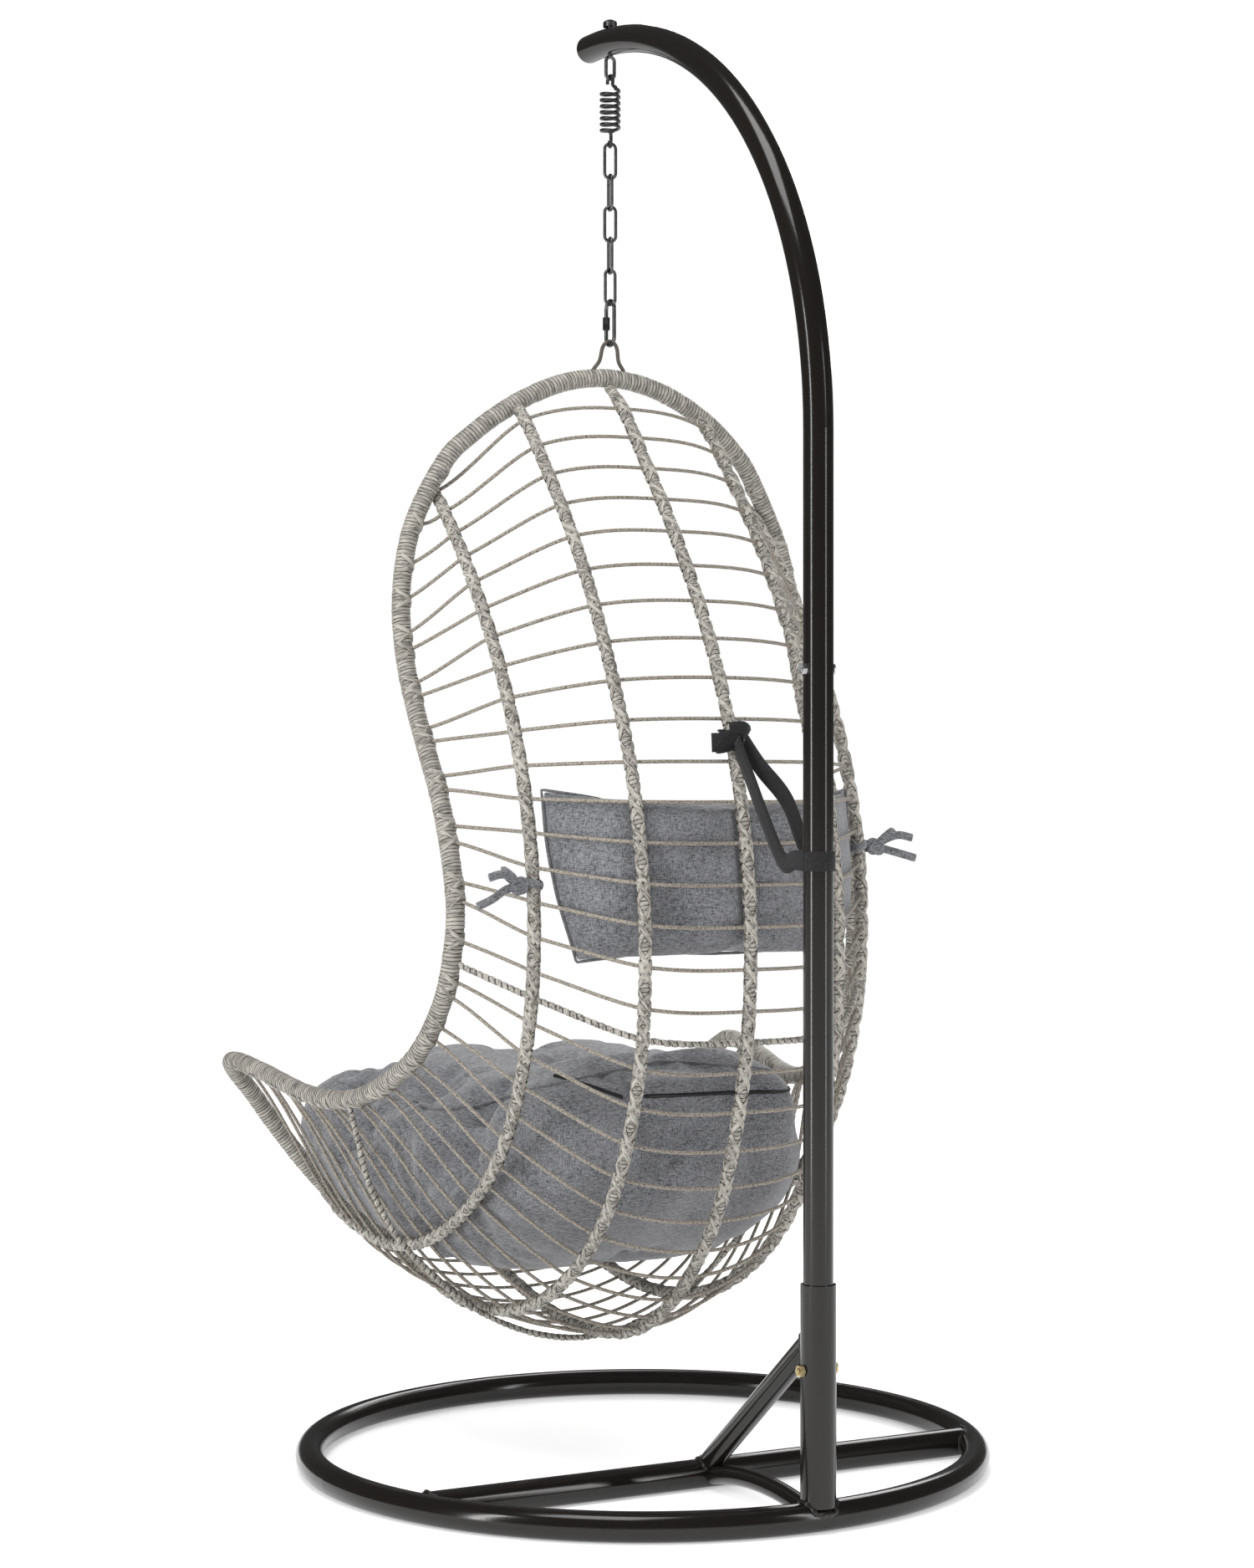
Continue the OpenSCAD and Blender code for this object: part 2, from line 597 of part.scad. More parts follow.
// The cushion's ends lean in from the back by this share of their distance past the inner ribs
neck_lean = 0.15;
module neck_cushion() {
    rows = [for (i = [0:neck_rows]) let (t = -1 + 2 * i / neck_rows, full = soft(0.98 * t, 3.5),
        x = t * neck_w / 2, thick = neck_t * full, high = neck_h / 2 * (0.8 + 0.2 * full),
        wall = place(fan(x, strand_rho(neck_phi, abs(x)), neck_phi)),
        y = wall.y - rib_d / 2 - neck_gap - thick / 2 - neck_lean * max(abs(x) - rib_x[1], 0))
        [for (q = oval(16, 2.6)) [wall.x, y + q.x * thick / 2, wall.z + q.y * high]]];
    color(fabric_grey) skin(rows);
}
// Each tie is a loop of rolled tape round an outer rib
tie_r = 3;
tie_between = [14, 13];
module tie(side, lower) {
    phi = (strand_phi[lower - 1] + strand_phi[lower]) / 2;
    p = place(on_rib(2, side, phi));
    v = unit(place(on_rib(2, side, phi + 1)) - p);
    translate(p) rotate([-atan2(v.y, v.z), 0, 0]) rotate_extrude()
        translate([rib_d / 2 + 2 * running_gap + tie_r, 0]) circle(r = tie_r);
}
module neck_cushion_ties() {
    color(fabric_grey) {
        tie(1, tie_between[0]);
        tie(-1, tie_between[1]);
    }
}

// Strap: a loop round the pole, a loop round the middle rib, and the webbing between them
strap_pole_z = 834;
strap_above = 10;
strap_phi = (strand_phi[strap_above - 1] + strand_phi[strap_above]) / 2;
strap_rib = place(on_rib(0, 1, strap_phi));
strap_r = tube_d / 2 + running_gap;
module strap_pole_loop() {
    color(web_black) translate([0, pole_y, strap_pole_z - web_w / 2]) rotate_extrude(angle = 180)
        translate([strap_r, 0]) square([web_t, web_w]);
}
module strap_rib_loop() {
    v = unit(place(on_rib(0, 1, strap_phi + 1)) - strap_rib);
    color(web_black) translate(strap_rib) rotate([-atan2(v.y, v.z), 0, 0]) translate([0, 0, -web_w / 2])
        rotate_extrude() translate([rib_d / 2 + web_gap, 0]) square([web_t, web_w]);
}
module strap_web() {
    end = strap_rib + [rib_d / 2, rib_d / 2 + web_t + 14, -8];
    start = [strap_r + web_t / 2, pole_y, strap_pole_z];
    sag = [[0, -22, 0], [-3, -52, 2], [-6, -88, 22]];
    color(web_black) for (side = [-1, 1])
        sweep([for (p = curve(concat([start], [for (s = sag) start + s], [end]), 3)) [side * p.x, p.y, p.z]],
            oblong(web_t, web_w), [1, 0, 0]);
}

base_ring();
base_crossbar();
base_link_tube();
post_socket();
diagonal_brace();
lower_pole();
upper_arm();
arm_end_plug();
socket_bolt();
socket_nut();
joint_bolt();
joint_nut();
eye_bolt();
eye_bolt_cap_nut();
coil_spring();
chain_link(1);  // chain_link_1
chain_link(2);  // chain_link_2
chain_link(3);  // chain_link_3
chain_link(4);  // chain_link_4
chain_link(5);  // chain_link_5
screw_link();
screw_link_nut();
hanging_loop();
basket_rim();
rib_middle();
rib_left_inner();
rib_right_inner();
rib_left_outer();
rib_right_outer();
seat_hoop();
cradle_hoop();
strands_left_back();
strands_right_back();
strands_left_side();
strands_right_side();
strands_left_wing();
strands_right_wing();
seat_cushion();
neck_cushion();
neck_cushion_ties();
strap_pole_loop();
strap_web();
strap_rib_loop();
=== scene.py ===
import bpy
import math
import numpy as np
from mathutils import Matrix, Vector


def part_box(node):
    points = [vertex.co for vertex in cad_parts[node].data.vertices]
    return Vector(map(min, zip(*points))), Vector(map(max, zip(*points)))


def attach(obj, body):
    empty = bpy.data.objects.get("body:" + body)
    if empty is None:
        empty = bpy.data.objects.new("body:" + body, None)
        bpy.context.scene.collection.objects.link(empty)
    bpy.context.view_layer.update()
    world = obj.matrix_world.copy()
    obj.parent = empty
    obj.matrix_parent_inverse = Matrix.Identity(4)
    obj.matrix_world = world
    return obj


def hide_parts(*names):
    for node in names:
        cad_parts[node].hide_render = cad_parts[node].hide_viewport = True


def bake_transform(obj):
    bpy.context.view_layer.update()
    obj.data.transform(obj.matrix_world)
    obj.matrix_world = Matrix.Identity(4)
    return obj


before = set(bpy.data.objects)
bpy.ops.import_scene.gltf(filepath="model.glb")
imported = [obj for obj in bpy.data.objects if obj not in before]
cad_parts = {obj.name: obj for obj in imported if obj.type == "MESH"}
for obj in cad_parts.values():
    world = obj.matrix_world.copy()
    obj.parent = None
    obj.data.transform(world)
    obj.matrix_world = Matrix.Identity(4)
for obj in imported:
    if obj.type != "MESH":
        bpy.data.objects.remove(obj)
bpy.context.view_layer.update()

# ---------------------------------------------------------------- shape of the basket, in metres
HOOP_R = 0.0045
RIM_R = 0.013
RIB_R = 0.00775
STRAND_R = 0.0025
SHAPE_LOW = 0.142
FAN = np.array([-0.320, 0.930])
RIB_X = [0.0, 0.145, 0.250]
RIB_FIRST, RIB_STEP = -105.0, 15.0
RIB_RHO = np.array([
    [705, 735, 800, 855, 845, 790, 730, 675, 635, 610, 610, 640],
    [690, 715, 765, 805, 810, 770, 710, 655, 610, 590, 590, 612],
    [612, 640, 670, 685, 685, 650, 600, 550, 510, 485, 480, 490]]) / 1000
RIB_TOP = [60.6, 59.3, 55.6]
RIB_FRONT = [-100.4, -100.3, -100.8]
RIM_HALF = np.array([
    [0, -6, 1500], [62, -6, 1492], [120, -6, 1470], [171, -10, 1440], [209, -17, 1410],
    [239, -25, 1380], [274, -30, 1320], [298, -28, 1260], [311, -22, 1180], [313, -4, 1100],
    [310, 30, 1020], [305, 96, 900], [308, 142, 790], [312, 148, 720], [317, 122, 640],
    [330, 63, 565], [350, -20, 516], [367, -95, 497], [386, -180, 500], [405, -290, 521],
    [414, -370, 531], [408, -403, 520], [365, -430, 475], [326, -440, 426], [267, -442, 354],
    [190, -448, 278], [142, -452, 253], [70, -455, 242], [0, -455, 240]]) / 1000
RIM_TIP = 20
CRADLE_Y = -0.080
CRADLE_HALF = np.array([[362, 492], [350, 444], [330, 375], [290, 305], [250, 262], [200, 217],
                        [145, 181], [75, 153], [0, 142]]) / 1000


def middle(node):
    low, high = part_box(node)
    return (np.array(low) + np.array(high)) / 2


HOOK_Y = middle("chain_link_5")[1]
POLE = middle("lower_pole")[:2]
POLE_R = 0.019
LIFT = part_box("cradle_hoop")[0][2] + HOOP_R - SHAPE_LOW


def place(p):
    """A point of the basket's shape, with y from the hook's axis, in the row frame."""
    return np.asarray(p, float) + np.array([0.0, HOOK_Y, LIFT])


def blend4(a, b, c, d, t):
    return 0.5 * (2 * b + (c - a) * t + (2 * a - 5 * b + 4 * c - d) * t ** 2
                  + (3 * b - a - 3 * c + d) * t ** 3)


def curve(points, steps, closed=False):
    p = np.asarray(points, float)
    n = len(p)
    out = []
    for i in range(n if closed else n - 1):
        if closed:
            four = p[(i - 1) % n], p[i], p[(i + 1) % n], p[(i + 2) % n]
        else:
            four = p[max(i - 1, 0)], p[i], p[i + 1], p[min(i + 2, n - 1)]
        out += [blend4(*four, k / steps) for k in range(steps)]
    if not closed:
        out.append(p[-1])
    return np.array(out)


def rho(rib, phi):
    table = RIB_RHO[rib]
    s = (phi - RIB_FIRST) / RIB_STEP
    i = int(min(math.floor(s), len(table) - 2))
    return blend4(table[max(i - 1, 0)], table[i], table[i + 1], table[min(i + 2, len(table) - 1)], s - i)


def fan(x, r, phi):
    a = math.radians(phi)
    return np.array([x, FAN[0] + r * math.cos(a), FAN[1] + r * math.sin(a)])


RIM_SIDE = curve(RIM_HALF[:RIM_TIP + 1], 8)
RIM_PHI = np.degrees(np.arctan2(RIM_SIDE[:, 2] - FAN[1], RIM_SIDE[:, 1] - FAN[0]))
RIM_RHO = np.hypot(RIM_SIDE[:, 2] - FAN[1], RIM_SIDE[:, 1] - FAN[0])
ORDER = np.argsort(RIM_PHI)


def rim_at(phi):
    """How far the rim is from the middle, and from the fan axis, at an angle about that axis."""
    return (float(np.interp(phi, RIM_PHI[ORDER], RIM_SIDE[ORDER, 0])),
            float(np.interp(phi, RIM_PHI[ORDER], RIM_RHO[ORDER])))


def strand_rho(phi, x):
    x = abs(x)
    a, b, c = rho(2, phi), rho(1, phi), rho(0, phi)
    rim_x, rim_rho = rim_at(phi)
    if x < RIB_X[1]:
        return blend4(b, c, b, a, x / RIB_X[1])
    if x < RIB_X[2]:
        return blend4(c, b, a, rim_rho, (x - RIB_X[1]) / (RIB_X[2] - RIB_X[1]))
    return blend4(b, a, rim_rho, rim_rho, (x - RIB_X[2]) / max(rim_x - RIB_X[2], 0.001))


# Angles of the strands, spaced along the middle rib as in the CAD part; one of them is the seat hoop
FIRST_PHI, LAST_PHI = 55.7, -97.0
UPPER_PITCH, LOWER_PITCH, UPPER_END, HOOP_INDEX = 0.0585, 0.054, 10, 17
HOOP_PITCH = LOWER_PITCH * 0.75
STRANDS = []
angle = FIRST_PHI
while angle > LAST_PHI:
    k = len(STRANDS)
    STRANDS.append(angle)
    if k < UPPER_END:
        pitch = UPPER_PITCH
    else:
        pitch = HOOP_PITCH if k in (HOOP_INDEX - 1, HOOP_INDEX) else LOWER_PITCH
    slope = math.degrees(rho(0, angle) - rho(0, angle - 1))
    angle -= math.degrees(pitch / math.hypot(rho(0, angle), slope))


# ---------------------------------------------------------------- tubes and bands along a path
class Path:
    """A smooth line with a steady frame along it, measured by length."""

    def __init__(self, points, first=(0, 0, 1), closed=False):
        p = np.asarray(points, float)
        self.closed = closed
        q = np.vstack([p, p[:1]]) if closed else p
        self.s = np.concatenate([[0], np.cumsum(np.linalg.norm(np.diff(q, axis=0), axis=1))])
        self.length = self.s[-1]
        n = len(p)
        if closed:
            t = np.roll(p, -1, 0) - np.roll(p, 1, 0)
        else:
            t = np.vstack([p[1] - p[0], p[2:] - p[:-2], p[-1] - p[-2]])
        t /= np.linalg.norm(t, axis=1)[:, None]
        v = np.zeros_like(p)
        now = np.array(first, float)
        for i in range(n):
            now = now - now.dot(t[i]) * t[i]
            now /= np.linalg.norm(now)
            v[i] = now
        if closed:
            t = np.vstack([t, t[:1]])
            v = np.vstack([v, v[:1]])
        self.p, self.t, self.v = q, t, v

    def at(self, s):
        s = np.mod(s, self.length) if self.closed else np.clip(s, 0, self.length)
        c, t, v = (np.stack([np.interp(s, self.s, a[:, k]) for k in range(3)], -1)
                   for a in (self.p, self.t, self.v))
        t /= np.linalg.norm(t, axis=-1)[..., None]
        v -= (v * t).sum(-1)[..., None] * t
        v /= np.linalg.norm(v, axis=-1)[..., None]
        return c, t, v, np.cross(t, v)


def mesh_object(name, verts, faces, uvs=None):
    mesh = bpy.data.meshes.new(name)
    mesh.from_pydata([tuple(v) for v in verts], [], [tuple(int(i) for i in f) for f in faces])
    if uvs is not None:
        layer = mesh.uv_layers.new(name="cane")
        layer.data.foreach_set("uv", np.asarray(uvs, np.float32).ravel())
    mesh.polygons.foreach_set("use_smooth", [True] * len(mesh.polygons))
    mesh.update()
    obj = bpy.data.objects.new(name, mesh)
    bpy.context.scene.collection.objects.link(obj)
    return obj


UV_LENGTH = 0.01


class Batch:
    """Many small surfaces gathered into one mesh."""

    def __init__(self):
        self.verts, self.faces, self.uvs = [], [], []

    def add(self, verts, faces, uvs):
        base = len(self.verts)
        self.verts += [tuple(v) for v in verts]
        self.faces += [tuple(int(i) + base for i in f) for f in faces]
        self.uvs += [tuple(u) for u in uvs]

    def tube(self, path, radius, sides, spacing):
        count = max(int(path.length / spacing), 3)
        s = np.linspace(0, path.length, count + 1)[:count if path.closed else None]
        c, t, v, w = path.at(s)
        th = np.arange(sides) * 2 * math.pi / sides
        r = radius(s)[:, None, None] if callable(radius) else radius
        ring = c[:, None] + r * (np.cos(th)[None, :, None] * v[:, None]
                                 + np.sin(th)[None, :, None] * w[:, None])
        n = len(s)
        faces, uvs = [], []
        for i in range(n if path.closed else n - 1):
            j = (i + 1) % n
            for k in range(sides):
                m = (k + 1) % sides
                faces.append((i * sides + k, i * sides + m, j * sides + m, j * sides + k))
                u0 = i * path.length / count / UV_LENGTH
                u1 = (i + 1) * path.length / count / UV_LENGTH
                uvs += [(u0, k / sides), (u0, (k + 1) / sides), (u1, (k + 1) / sides), (u1, k / sides)]
        if not path.closed:
            faces.append(tuple(range(sides - 1, -1, -1)))
            faces.append(tuple((n - 1) * sides + k for k in range(sides)))
            uvs += [(0, 0)] * (2 * sides)
        self.add(ring.reshape(-1, 3), faces, uvs)

    def build(self, name):
        return mesh_object(name, self.verts, self.faces, self.uvs)


# Along each turn of cane: where, as a share of the turn, and how high, as a share of the ridge
WRAP_PHASES = [(0.0, -1.0), (0.12, 0.55), (0.5, 1.0), (0.85, 0.35)]


def wrapped(name, path, radius, pitch, ridge, sides, seed):
    """A tube wound with flat cane: each turn of the helix is one band that overlaps the one before."""
    turns = max(int(round(path.length / pitch)), 2)
    pitch = path.length / turns
    rnd = np.random.default_rng(seed)
    lift = rnd.normal(0, 0.35, turns + 2)
    m = len(WRAP_PHASES)
    rows = turns * m
    i = np.arange(rows if path.closed else rows + 1)
    phase = np.array([WRAP_PHASES[a % m][0] for a in i])
    height = np.array([WRAP_PHASES[a % m][1] for a in i])
    base = (i // m + phase) * pitch
    th = np.arange(sides) / sides
    s = base[:, None] + th[None, :] * pitch
    c, t, v, w = path.at(s)
    r = radius + ridge * (height + np.where(height > 0, lift[i // m], 0))[:, None, None]
    a = (2 * math.pi * th)[None, :, None]
    verts = c + r * (np.cos(a) * v + np.sin(a) * w)
    faces, uvs = [], []
    n = len(i)
    for row in range(n if path.closed else n - 1 - m):
        u0 = row // m + WRAP_PHASES[row % m][0]
        u1 = (row + 1) // m + WRAP_PHASES[(row + 1) % m][0]
        for k in range(sides):
            over = m if k == sides - 1 else 0
            k2 = (k + 1) % sides
            a0, a1 = row, (row + 1) % n
            b0, b1 = (row + over) % n, (row + 1 + over) % n
            faces.append((a0 * sides + k, b0 * sides + k2, b1 * sides + k2, a1 * sides + k))
            uvs += [(u0, k / sides), (u0, (k + 1) / sides), (u1, (k + 1) / sides), (u1, k / sides)]
    return mesh_object(name, verts.reshape(-1, 3), faces, uvs)


LACE_ROWS = 9
# Across a band: where, from -1 to 1, and how high
LACE_PROFILE = ((-1, -0.6), (-0.8, 0.7), (0, 1.0), (0.8, 0.7), (1, -0.6))


def lacing(batch, path, s0, out, radius, reach, width, lift, seed, spread=82):
    """Two flat bands that cross in an X over a tube, at length s0 on the side that out points to."""
    _, _, v0, w0 = path.at(np.array(s0))
    a0 = math.atan2(float(np.dot(out, w0)), float(np.dot(out, v0)))
    for which, turn in enumerate((1, -1)):
        verts, faces, uvs = [], [], []
        for i in range(LACE_ROWS):
            f = -1 + 2 * i / (LACE_ROWS - 1)
            a = a0 + math.radians(spread) * f
            c, t, v, w = path.at(np.array(s0 + turn * reach * f))
            radial = math.cos(a) * v + math.sin(a) * w
            around = -math.sin(a) * v + math.cos(a) * w
            along = t * turn * reach + around * math.radians(spread) * radius
            along /= np.linalg.norm(along)
            side = np.cross(radial, along)
            high = lift * (1 if which else 0.55) * (1 - 0.5 * f * f)
            for g, h in LACE_PROFILE:
                verts.append(c + radial * (radius + high * h + 0.0002) + side * g * width / 2)
        across = len(LACE_PROFILE)
        for i in range(LACE_ROWS - 1):
            for k in range(across - 1):
                corner = i * across + k
                faces.append((corner, corner + 1, corner + across + 1, corner + across))
                u0, u1 = (seed + which + q / 4.001 for q in (k, k + 1))
                v0_uv, v1_uv = i / 12, (i + 1) / 12
                uvs += [(u0, v0_uv), (u1, v0_uv), (u1, v1_uv), (u0, v1_uv)]
        batch.add(verts, faces, uvs)


# ---------------------------------------------------------------- materials
def material(name, color, rough, metal=0.0):
    m = bpy.data.materials.new(name)
    m.use_nodes = True
    b = m.node_tree.nodes["Principled BSDF"]
    b.inputs["Base Color"].default_value = (*color, 1)
    b.inputs["Roughness"].default_value = rough
    b.inputs["Metallic"].default_value = metal
    return m, m.node_tree, b


def node(tree, kind, **settings):
    n = tree.nodes.new(kind)
    for key, value in settings.items():
        if key.startswith("in_"):
            n.inputs[int(key[3:])].default_value = value
        else:
            setattr(n, key, value)
    return n


def ramp(tree, factor, stops):
    n = tree.nodes.new("ShaderNodeValToRGB")
    el = n.color_ramp.elements
    while len(el) < len(stops):
        el.new(0.5)
    for e, (pos, col) in zip(el, stops):
        e.position = pos
        e.color = (*col, 1)
    tree.links.new(factor, n.inputs["Fac"])
    return n.outputs["Color"]


def bump(tree, bsdf, height, strength, distance):
    n = node(tree, "ShaderNodeBump")
    n.inputs["Strength"].default_value = strength
    n.inputs["Distance"].default_value = distance
    tree.links.new(height, n.inputs["Height"])
    tree.links.new(n.outputs["Normal"], bsdf.inputs["Normal"])


def noise(tree, vector, scale, detail=2.0, rough=0.5):
    n = node(tree, "ShaderNodeTexNoise")
    n.inputs["Scale"].default_value = scale
    n.inputs["Detail"].default_value = detail
    n.inputs["Roughness"].default_value = rough
    tree.links.new(vector, n.inputs["Vector"])
    return n.outputs["Fac"]


def mapped(tree, vector, scale):
    n = node(tree, "ShaderNodeMapping")
    n.inputs["Scale"].default_value = scale
    tree.links.new(vector, n.inputs["Vector"])
    return n.outputs["Vector"]


def math_node(tree, operation, *operands):
    n = node(tree, "ShaderNodeMath", operation=operation)
    for i, x in enumerate(operands):
        if hasattr(x, "links"):
            tree.links.new(x, n.inputs[i])
        else:
            n.inputs[i].default_value = x
    return n.outputs[0]


def cane(name, light, dark, across, along, tone=0.0, gap=0.0):
    """Synthetic cane: fine streaks along each band, each band's own tone, and painted shade in the gap beside
    it.
    """
    m, tree, b = material(name, light, 0.5)
    uv = node(tree, "ShaderNodeUVMap", uv_map="cane").outputs["UV"]
    streak = noise(tree, mapped(tree, uv, (across, along, 1)), 1.0, 3.0, 0.65)
    value = streak
    parts = node(tree, "ShaderNodeSeparateXYZ")
    tree.links.new(uv, parts.inputs[0])
    if tone:
        band = node(tree, "ShaderNodeTexWhiteNoise", noise_dimensions="1D")
        tree.links.new(math_node(tree, "FLOOR", parts.outputs["X"], 0.0), band.inputs["W"])
        spread = math_node(tree, "MULTIPLY_ADD", band.outputs["Value"], tone, -tone / 2)
        value = math_node(tree, "ADD", streak, spread)
    # Painted shade: near both ends of each band, in the groove where one turn meets the next, the colour is
    # darkened.
    if gap:
        across_band = math_node(tree, "FRACT", parts.outputs["X"], 0.0)
        near_edge = math_node(tree, "PINGPONG", math_node(tree, "ADD", across_band, 0.5), 0.5)
        edge = math_node(tree, "GREATER_THAN", near_edge, 0.5 - gap)
        value = math_node(tree, "SUBTRACT", value, math_node(tree, "MULTIPLY", edge, 0.32))
    tree.links.new(ramp(tree, value, [(0.22, tuple(0.35 * c for c in dark)), (0.38, dark),
                                      (0.47, tuple(0.5 * a + 0.5 * c for a, c in zip(dark, light))),
                                      (0.55, light), (0.70, tuple(1.2 * c for c in light))]),
                   b.inputs["Base Color"])
    bump(tree, b, value, 0.6, 0.0007)
    return m


def fabric(name, light, dark):
    """Melange weave: short threads of lighter and darker yarn, crossing."""
    m, tree, b = material(name, light, 0.92)
    at = node(tree, "ShaderNodeTexCoord").outputs["Object"]
    weft = noise(tree, mapped(tree, at, (140, 140, 900)), 1.0, 2.0, 0.6)
    warp = noise(tree, mapped(tree, at, (800, 800, 150)), 1.0, 2.0, 0.6)
    cloud = noise(tree, at, 14.0, 2.0)
    both = math_node(tree, "MULTIPLY", math_node(tree, "ADD", weft, warp), 0.5)
    value = math_node(tree, "ADD", both, math_node(tree, "MULTIPLY", cloud, 0.10))
    middle_tone = tuple((a + c) / 2 for a, c in zip(light, dark))
    yarn = ramp(tree, value, [(0.42, dark), (0.54, middle_tone), (0.66, light)])
    tree.links.new(yarn, b.inputs["Base Color"])
    b.inputs["Sheen Weight"].default_value = 0.25
    b.inputs["Sheen Roughness"].default_value = 0.5
    bump(tree, b, both, 0.55, 0.0008)
    return m


def paint(name, color, rough, speck=0.12):
    m, tree, b = material(name, color, rough)
    at = node(tree, "ShaderNodeTexCoord").outputs["Object"]
    peel = noise(tree, at, 260.0, 2.0)
    dust = noise(tree, at, 9.0, 4.0)
    tree.links.new(math_node(tree, "MULTIPLY_ADD", dust, speck, rough - speck / 2), b.inputs["Roughness"])
    b.inputs["Coat Weight"].default_value = 0.18
    b.inputs["Specular IOR Level"].default_value = 0.30
    b.inputs["Coat Roughness"].default_value = 0.12
    bump(tree, b, peel, 0.12, 0.0004)
    return m


def metal(name, color, rough):
    m, tree, b = material(name, color, rough, 1.0)
    at = node(tree, "ShaderNodeTexCoord").outputs["Object"]
    wear = noise(tree, at, 120.0, 4.0)
    shade = ramp(tree, wear, [(0.3, tuple(0.62 * c for c in color)), (0.62, color)])
    tree.links.new(shade, b.inputs["Base Color"])
    tree.links.new(math_node(tree, "MULTIPLY_ADD", wear, 0.3, rough - 0.1), b.inputs["Roughness"])
    bump(tree, b, wear, 0.15, 0.0004)
    return m


def webbing(name):
    """Woven tape: fine ribs across its length."""
    m, tree, b = material(name, (0.010, 0.010, 0.011), 0.8)
    at = node(tree, "ShaderNodeTexCoord").outputs["Object"]
    rib = noise(tree, mapped(tree, at, (500, 500, 900)), 1.0, 2.0)
    weave = ramp(tree, rib, [(0.35, (0.004, 0.004, 0.004)), (0.65, (0.020, 0.020, 0.022))])
    tree.links.new(weave, b.inputs["Base Color"])
    b.inputs["Sheen Weight"].default_value = 0.08
    b.inputs["Specular IOR Level"].default_value = 0.25
    bump(tree, b, rib, 0.6, 0.0006)
    return m


# The wrapped cane's last argument sets the width of the painted shade at the ends of each band.
CANE = cane("wrapped_cane", (0.385, 0.365, 0.325), (0.105, 0.096, 0.083), 6.0, 5.0, 0.10, 0.10)
STRAND = cane("strand_cane", (0.29, 0.258, 0.215), (0.085, 0.073, 0.06), 3.2, 7.0)
CLOTH = fabric("cushion_fabric", (0.225, 0.229, 0.243), (0.034, 0.035, 0.039))
PIPING = fabric("piping_fabric", (0.17, 0.172, 0.182), (0.04, 0.041, 0.045))
BLACK = paint("black_paint", (0.0085, 0.0072, 0.0062), 0.17, 0.06)
WELD = paint("weld_paint", (0.013, 0.0115, 0.0105), 0.34)
SPRING = paint("spring_paint", (0.010, 0.010, 0.011), 0.38)
LOOP = paint("loop_paint", (0.075, 0.062, 0.050), 0.35)
PLUG = paint("plug_plastic", (0.011, 0.010, 0.0095), 0.30)
ZINC = metal("yellow_zinc", (0.62, 0.50, 0.27), 0.35)
BRIGHT = metal("bright_zinc", (0.62, 0.62, 0.62), 0.35)
CHAIN = metal("chain_zinc", (0.12, 0.118, 0.12), 0.30)
WEB = webbing("webbing")
ZIP = paint("zip_tape", (0.006, 0.006, 0.007), 0.6)


def dress(obj, mat):
    obj.data.materials.clear()
    obj.data.materials.append(mat)


NODE_MATERIALS = {
    BLACK: ["base_ring", "base_crossbar", "base_link_tube", "post_socket", "diagonal_brace", "lower_pole",
            "upper_arm"],
    PLUG: ["arm_end_plug"], ZINC: ["socket_bolt", "socket_nut"], BRIGHT: ["joint_bolt", "joint_nut"],
    CHAIN: ["eye_bolt", "eye_bolt_cap_nut", "screw_link", "screw_link_nut"]
    + [f"chain_link_{k}" for k in range(1, 6)],
    SPRING: ["coil_spring"], LOOP: ["hanging_loop"], WEB: ["strap_pole_loop", "strap_web", "strap_rib_loop"],
    CLOTH: ["seat_cushion", "neck_cushion", "neck_cushion_ties"],
}
for mat, names in NODE_MATERIALS.items():
    for name in names:
        dress(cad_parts[name], mat)


def finish(obj, mat, slot, body, *replaced):
    dress(obj, mat)
    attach(obj, body)
    if replaced:
        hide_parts(*replaced)
    return obj


# ---------------------------------------------------------------- basket: rim, ribs, hoops
# Of each kind of winding: the length of one turn, the height of its ridge, and how far its core is sunk
RIM_TURN, RIM_RIDGE, RIM_SUNK = 0.0050, 0.0005, 0.0006
RIB_TURN, RIB_RIDGE, RIB_SUNK = 0.0058, 0.0005, 0.0007
HOOP_TURN, HOOP_RIDGE, HOOP_SUNK = 0.0105, 0.0008, 0.0008
# Of the crossed lacing on ribs and rim: half its length along the tube, a band's width, and its height
RIB_LACE = (0.0165, 0.0074, 0.0022)
RIM_LACE = (0.012, 0.0065, 0.0016)
LACE_SHIFT = 0.0085
rim_points = np.vstack([RIM_HALF, (RIM_HALF * [-1, 1, 1])[-2:0:-1]])
RIM = Path(place(curve(rim_points, 10, True)), closed=True)
finish(wrapped("rim_wrapping", RIM, RIM_R - RIM_SUNK, RIM_TURN, RIM_RIDGE, 20, 1),
       CANE, "wrapped_cane", "basket", "basket_rim")

RIBS = {"rib_middle": (0, 1), "rib_left_inner": (1, 1), "rib_right_inner": (1, -1),
        "rib_left_outer": (2, 1), "rib_right_outer": (2, -1)}
STRAP_PHI = (STRANDS[9] + STRANDS[10]) / 2


def outward(x, phi):
    """The way out of the basket's surface."""
    d = (strand_rho(phi, abs(x) + 0.004) - strand_rho(phi, max(abs(x) - 0.004, 0))) / 0.008 if x else 0.0
    a = math.radians(phi)
    v = np.array([-d * (1 if x > 0 else -1), math.cos(a), math.sin(a)])
    return v / np.linalg.norm(v)


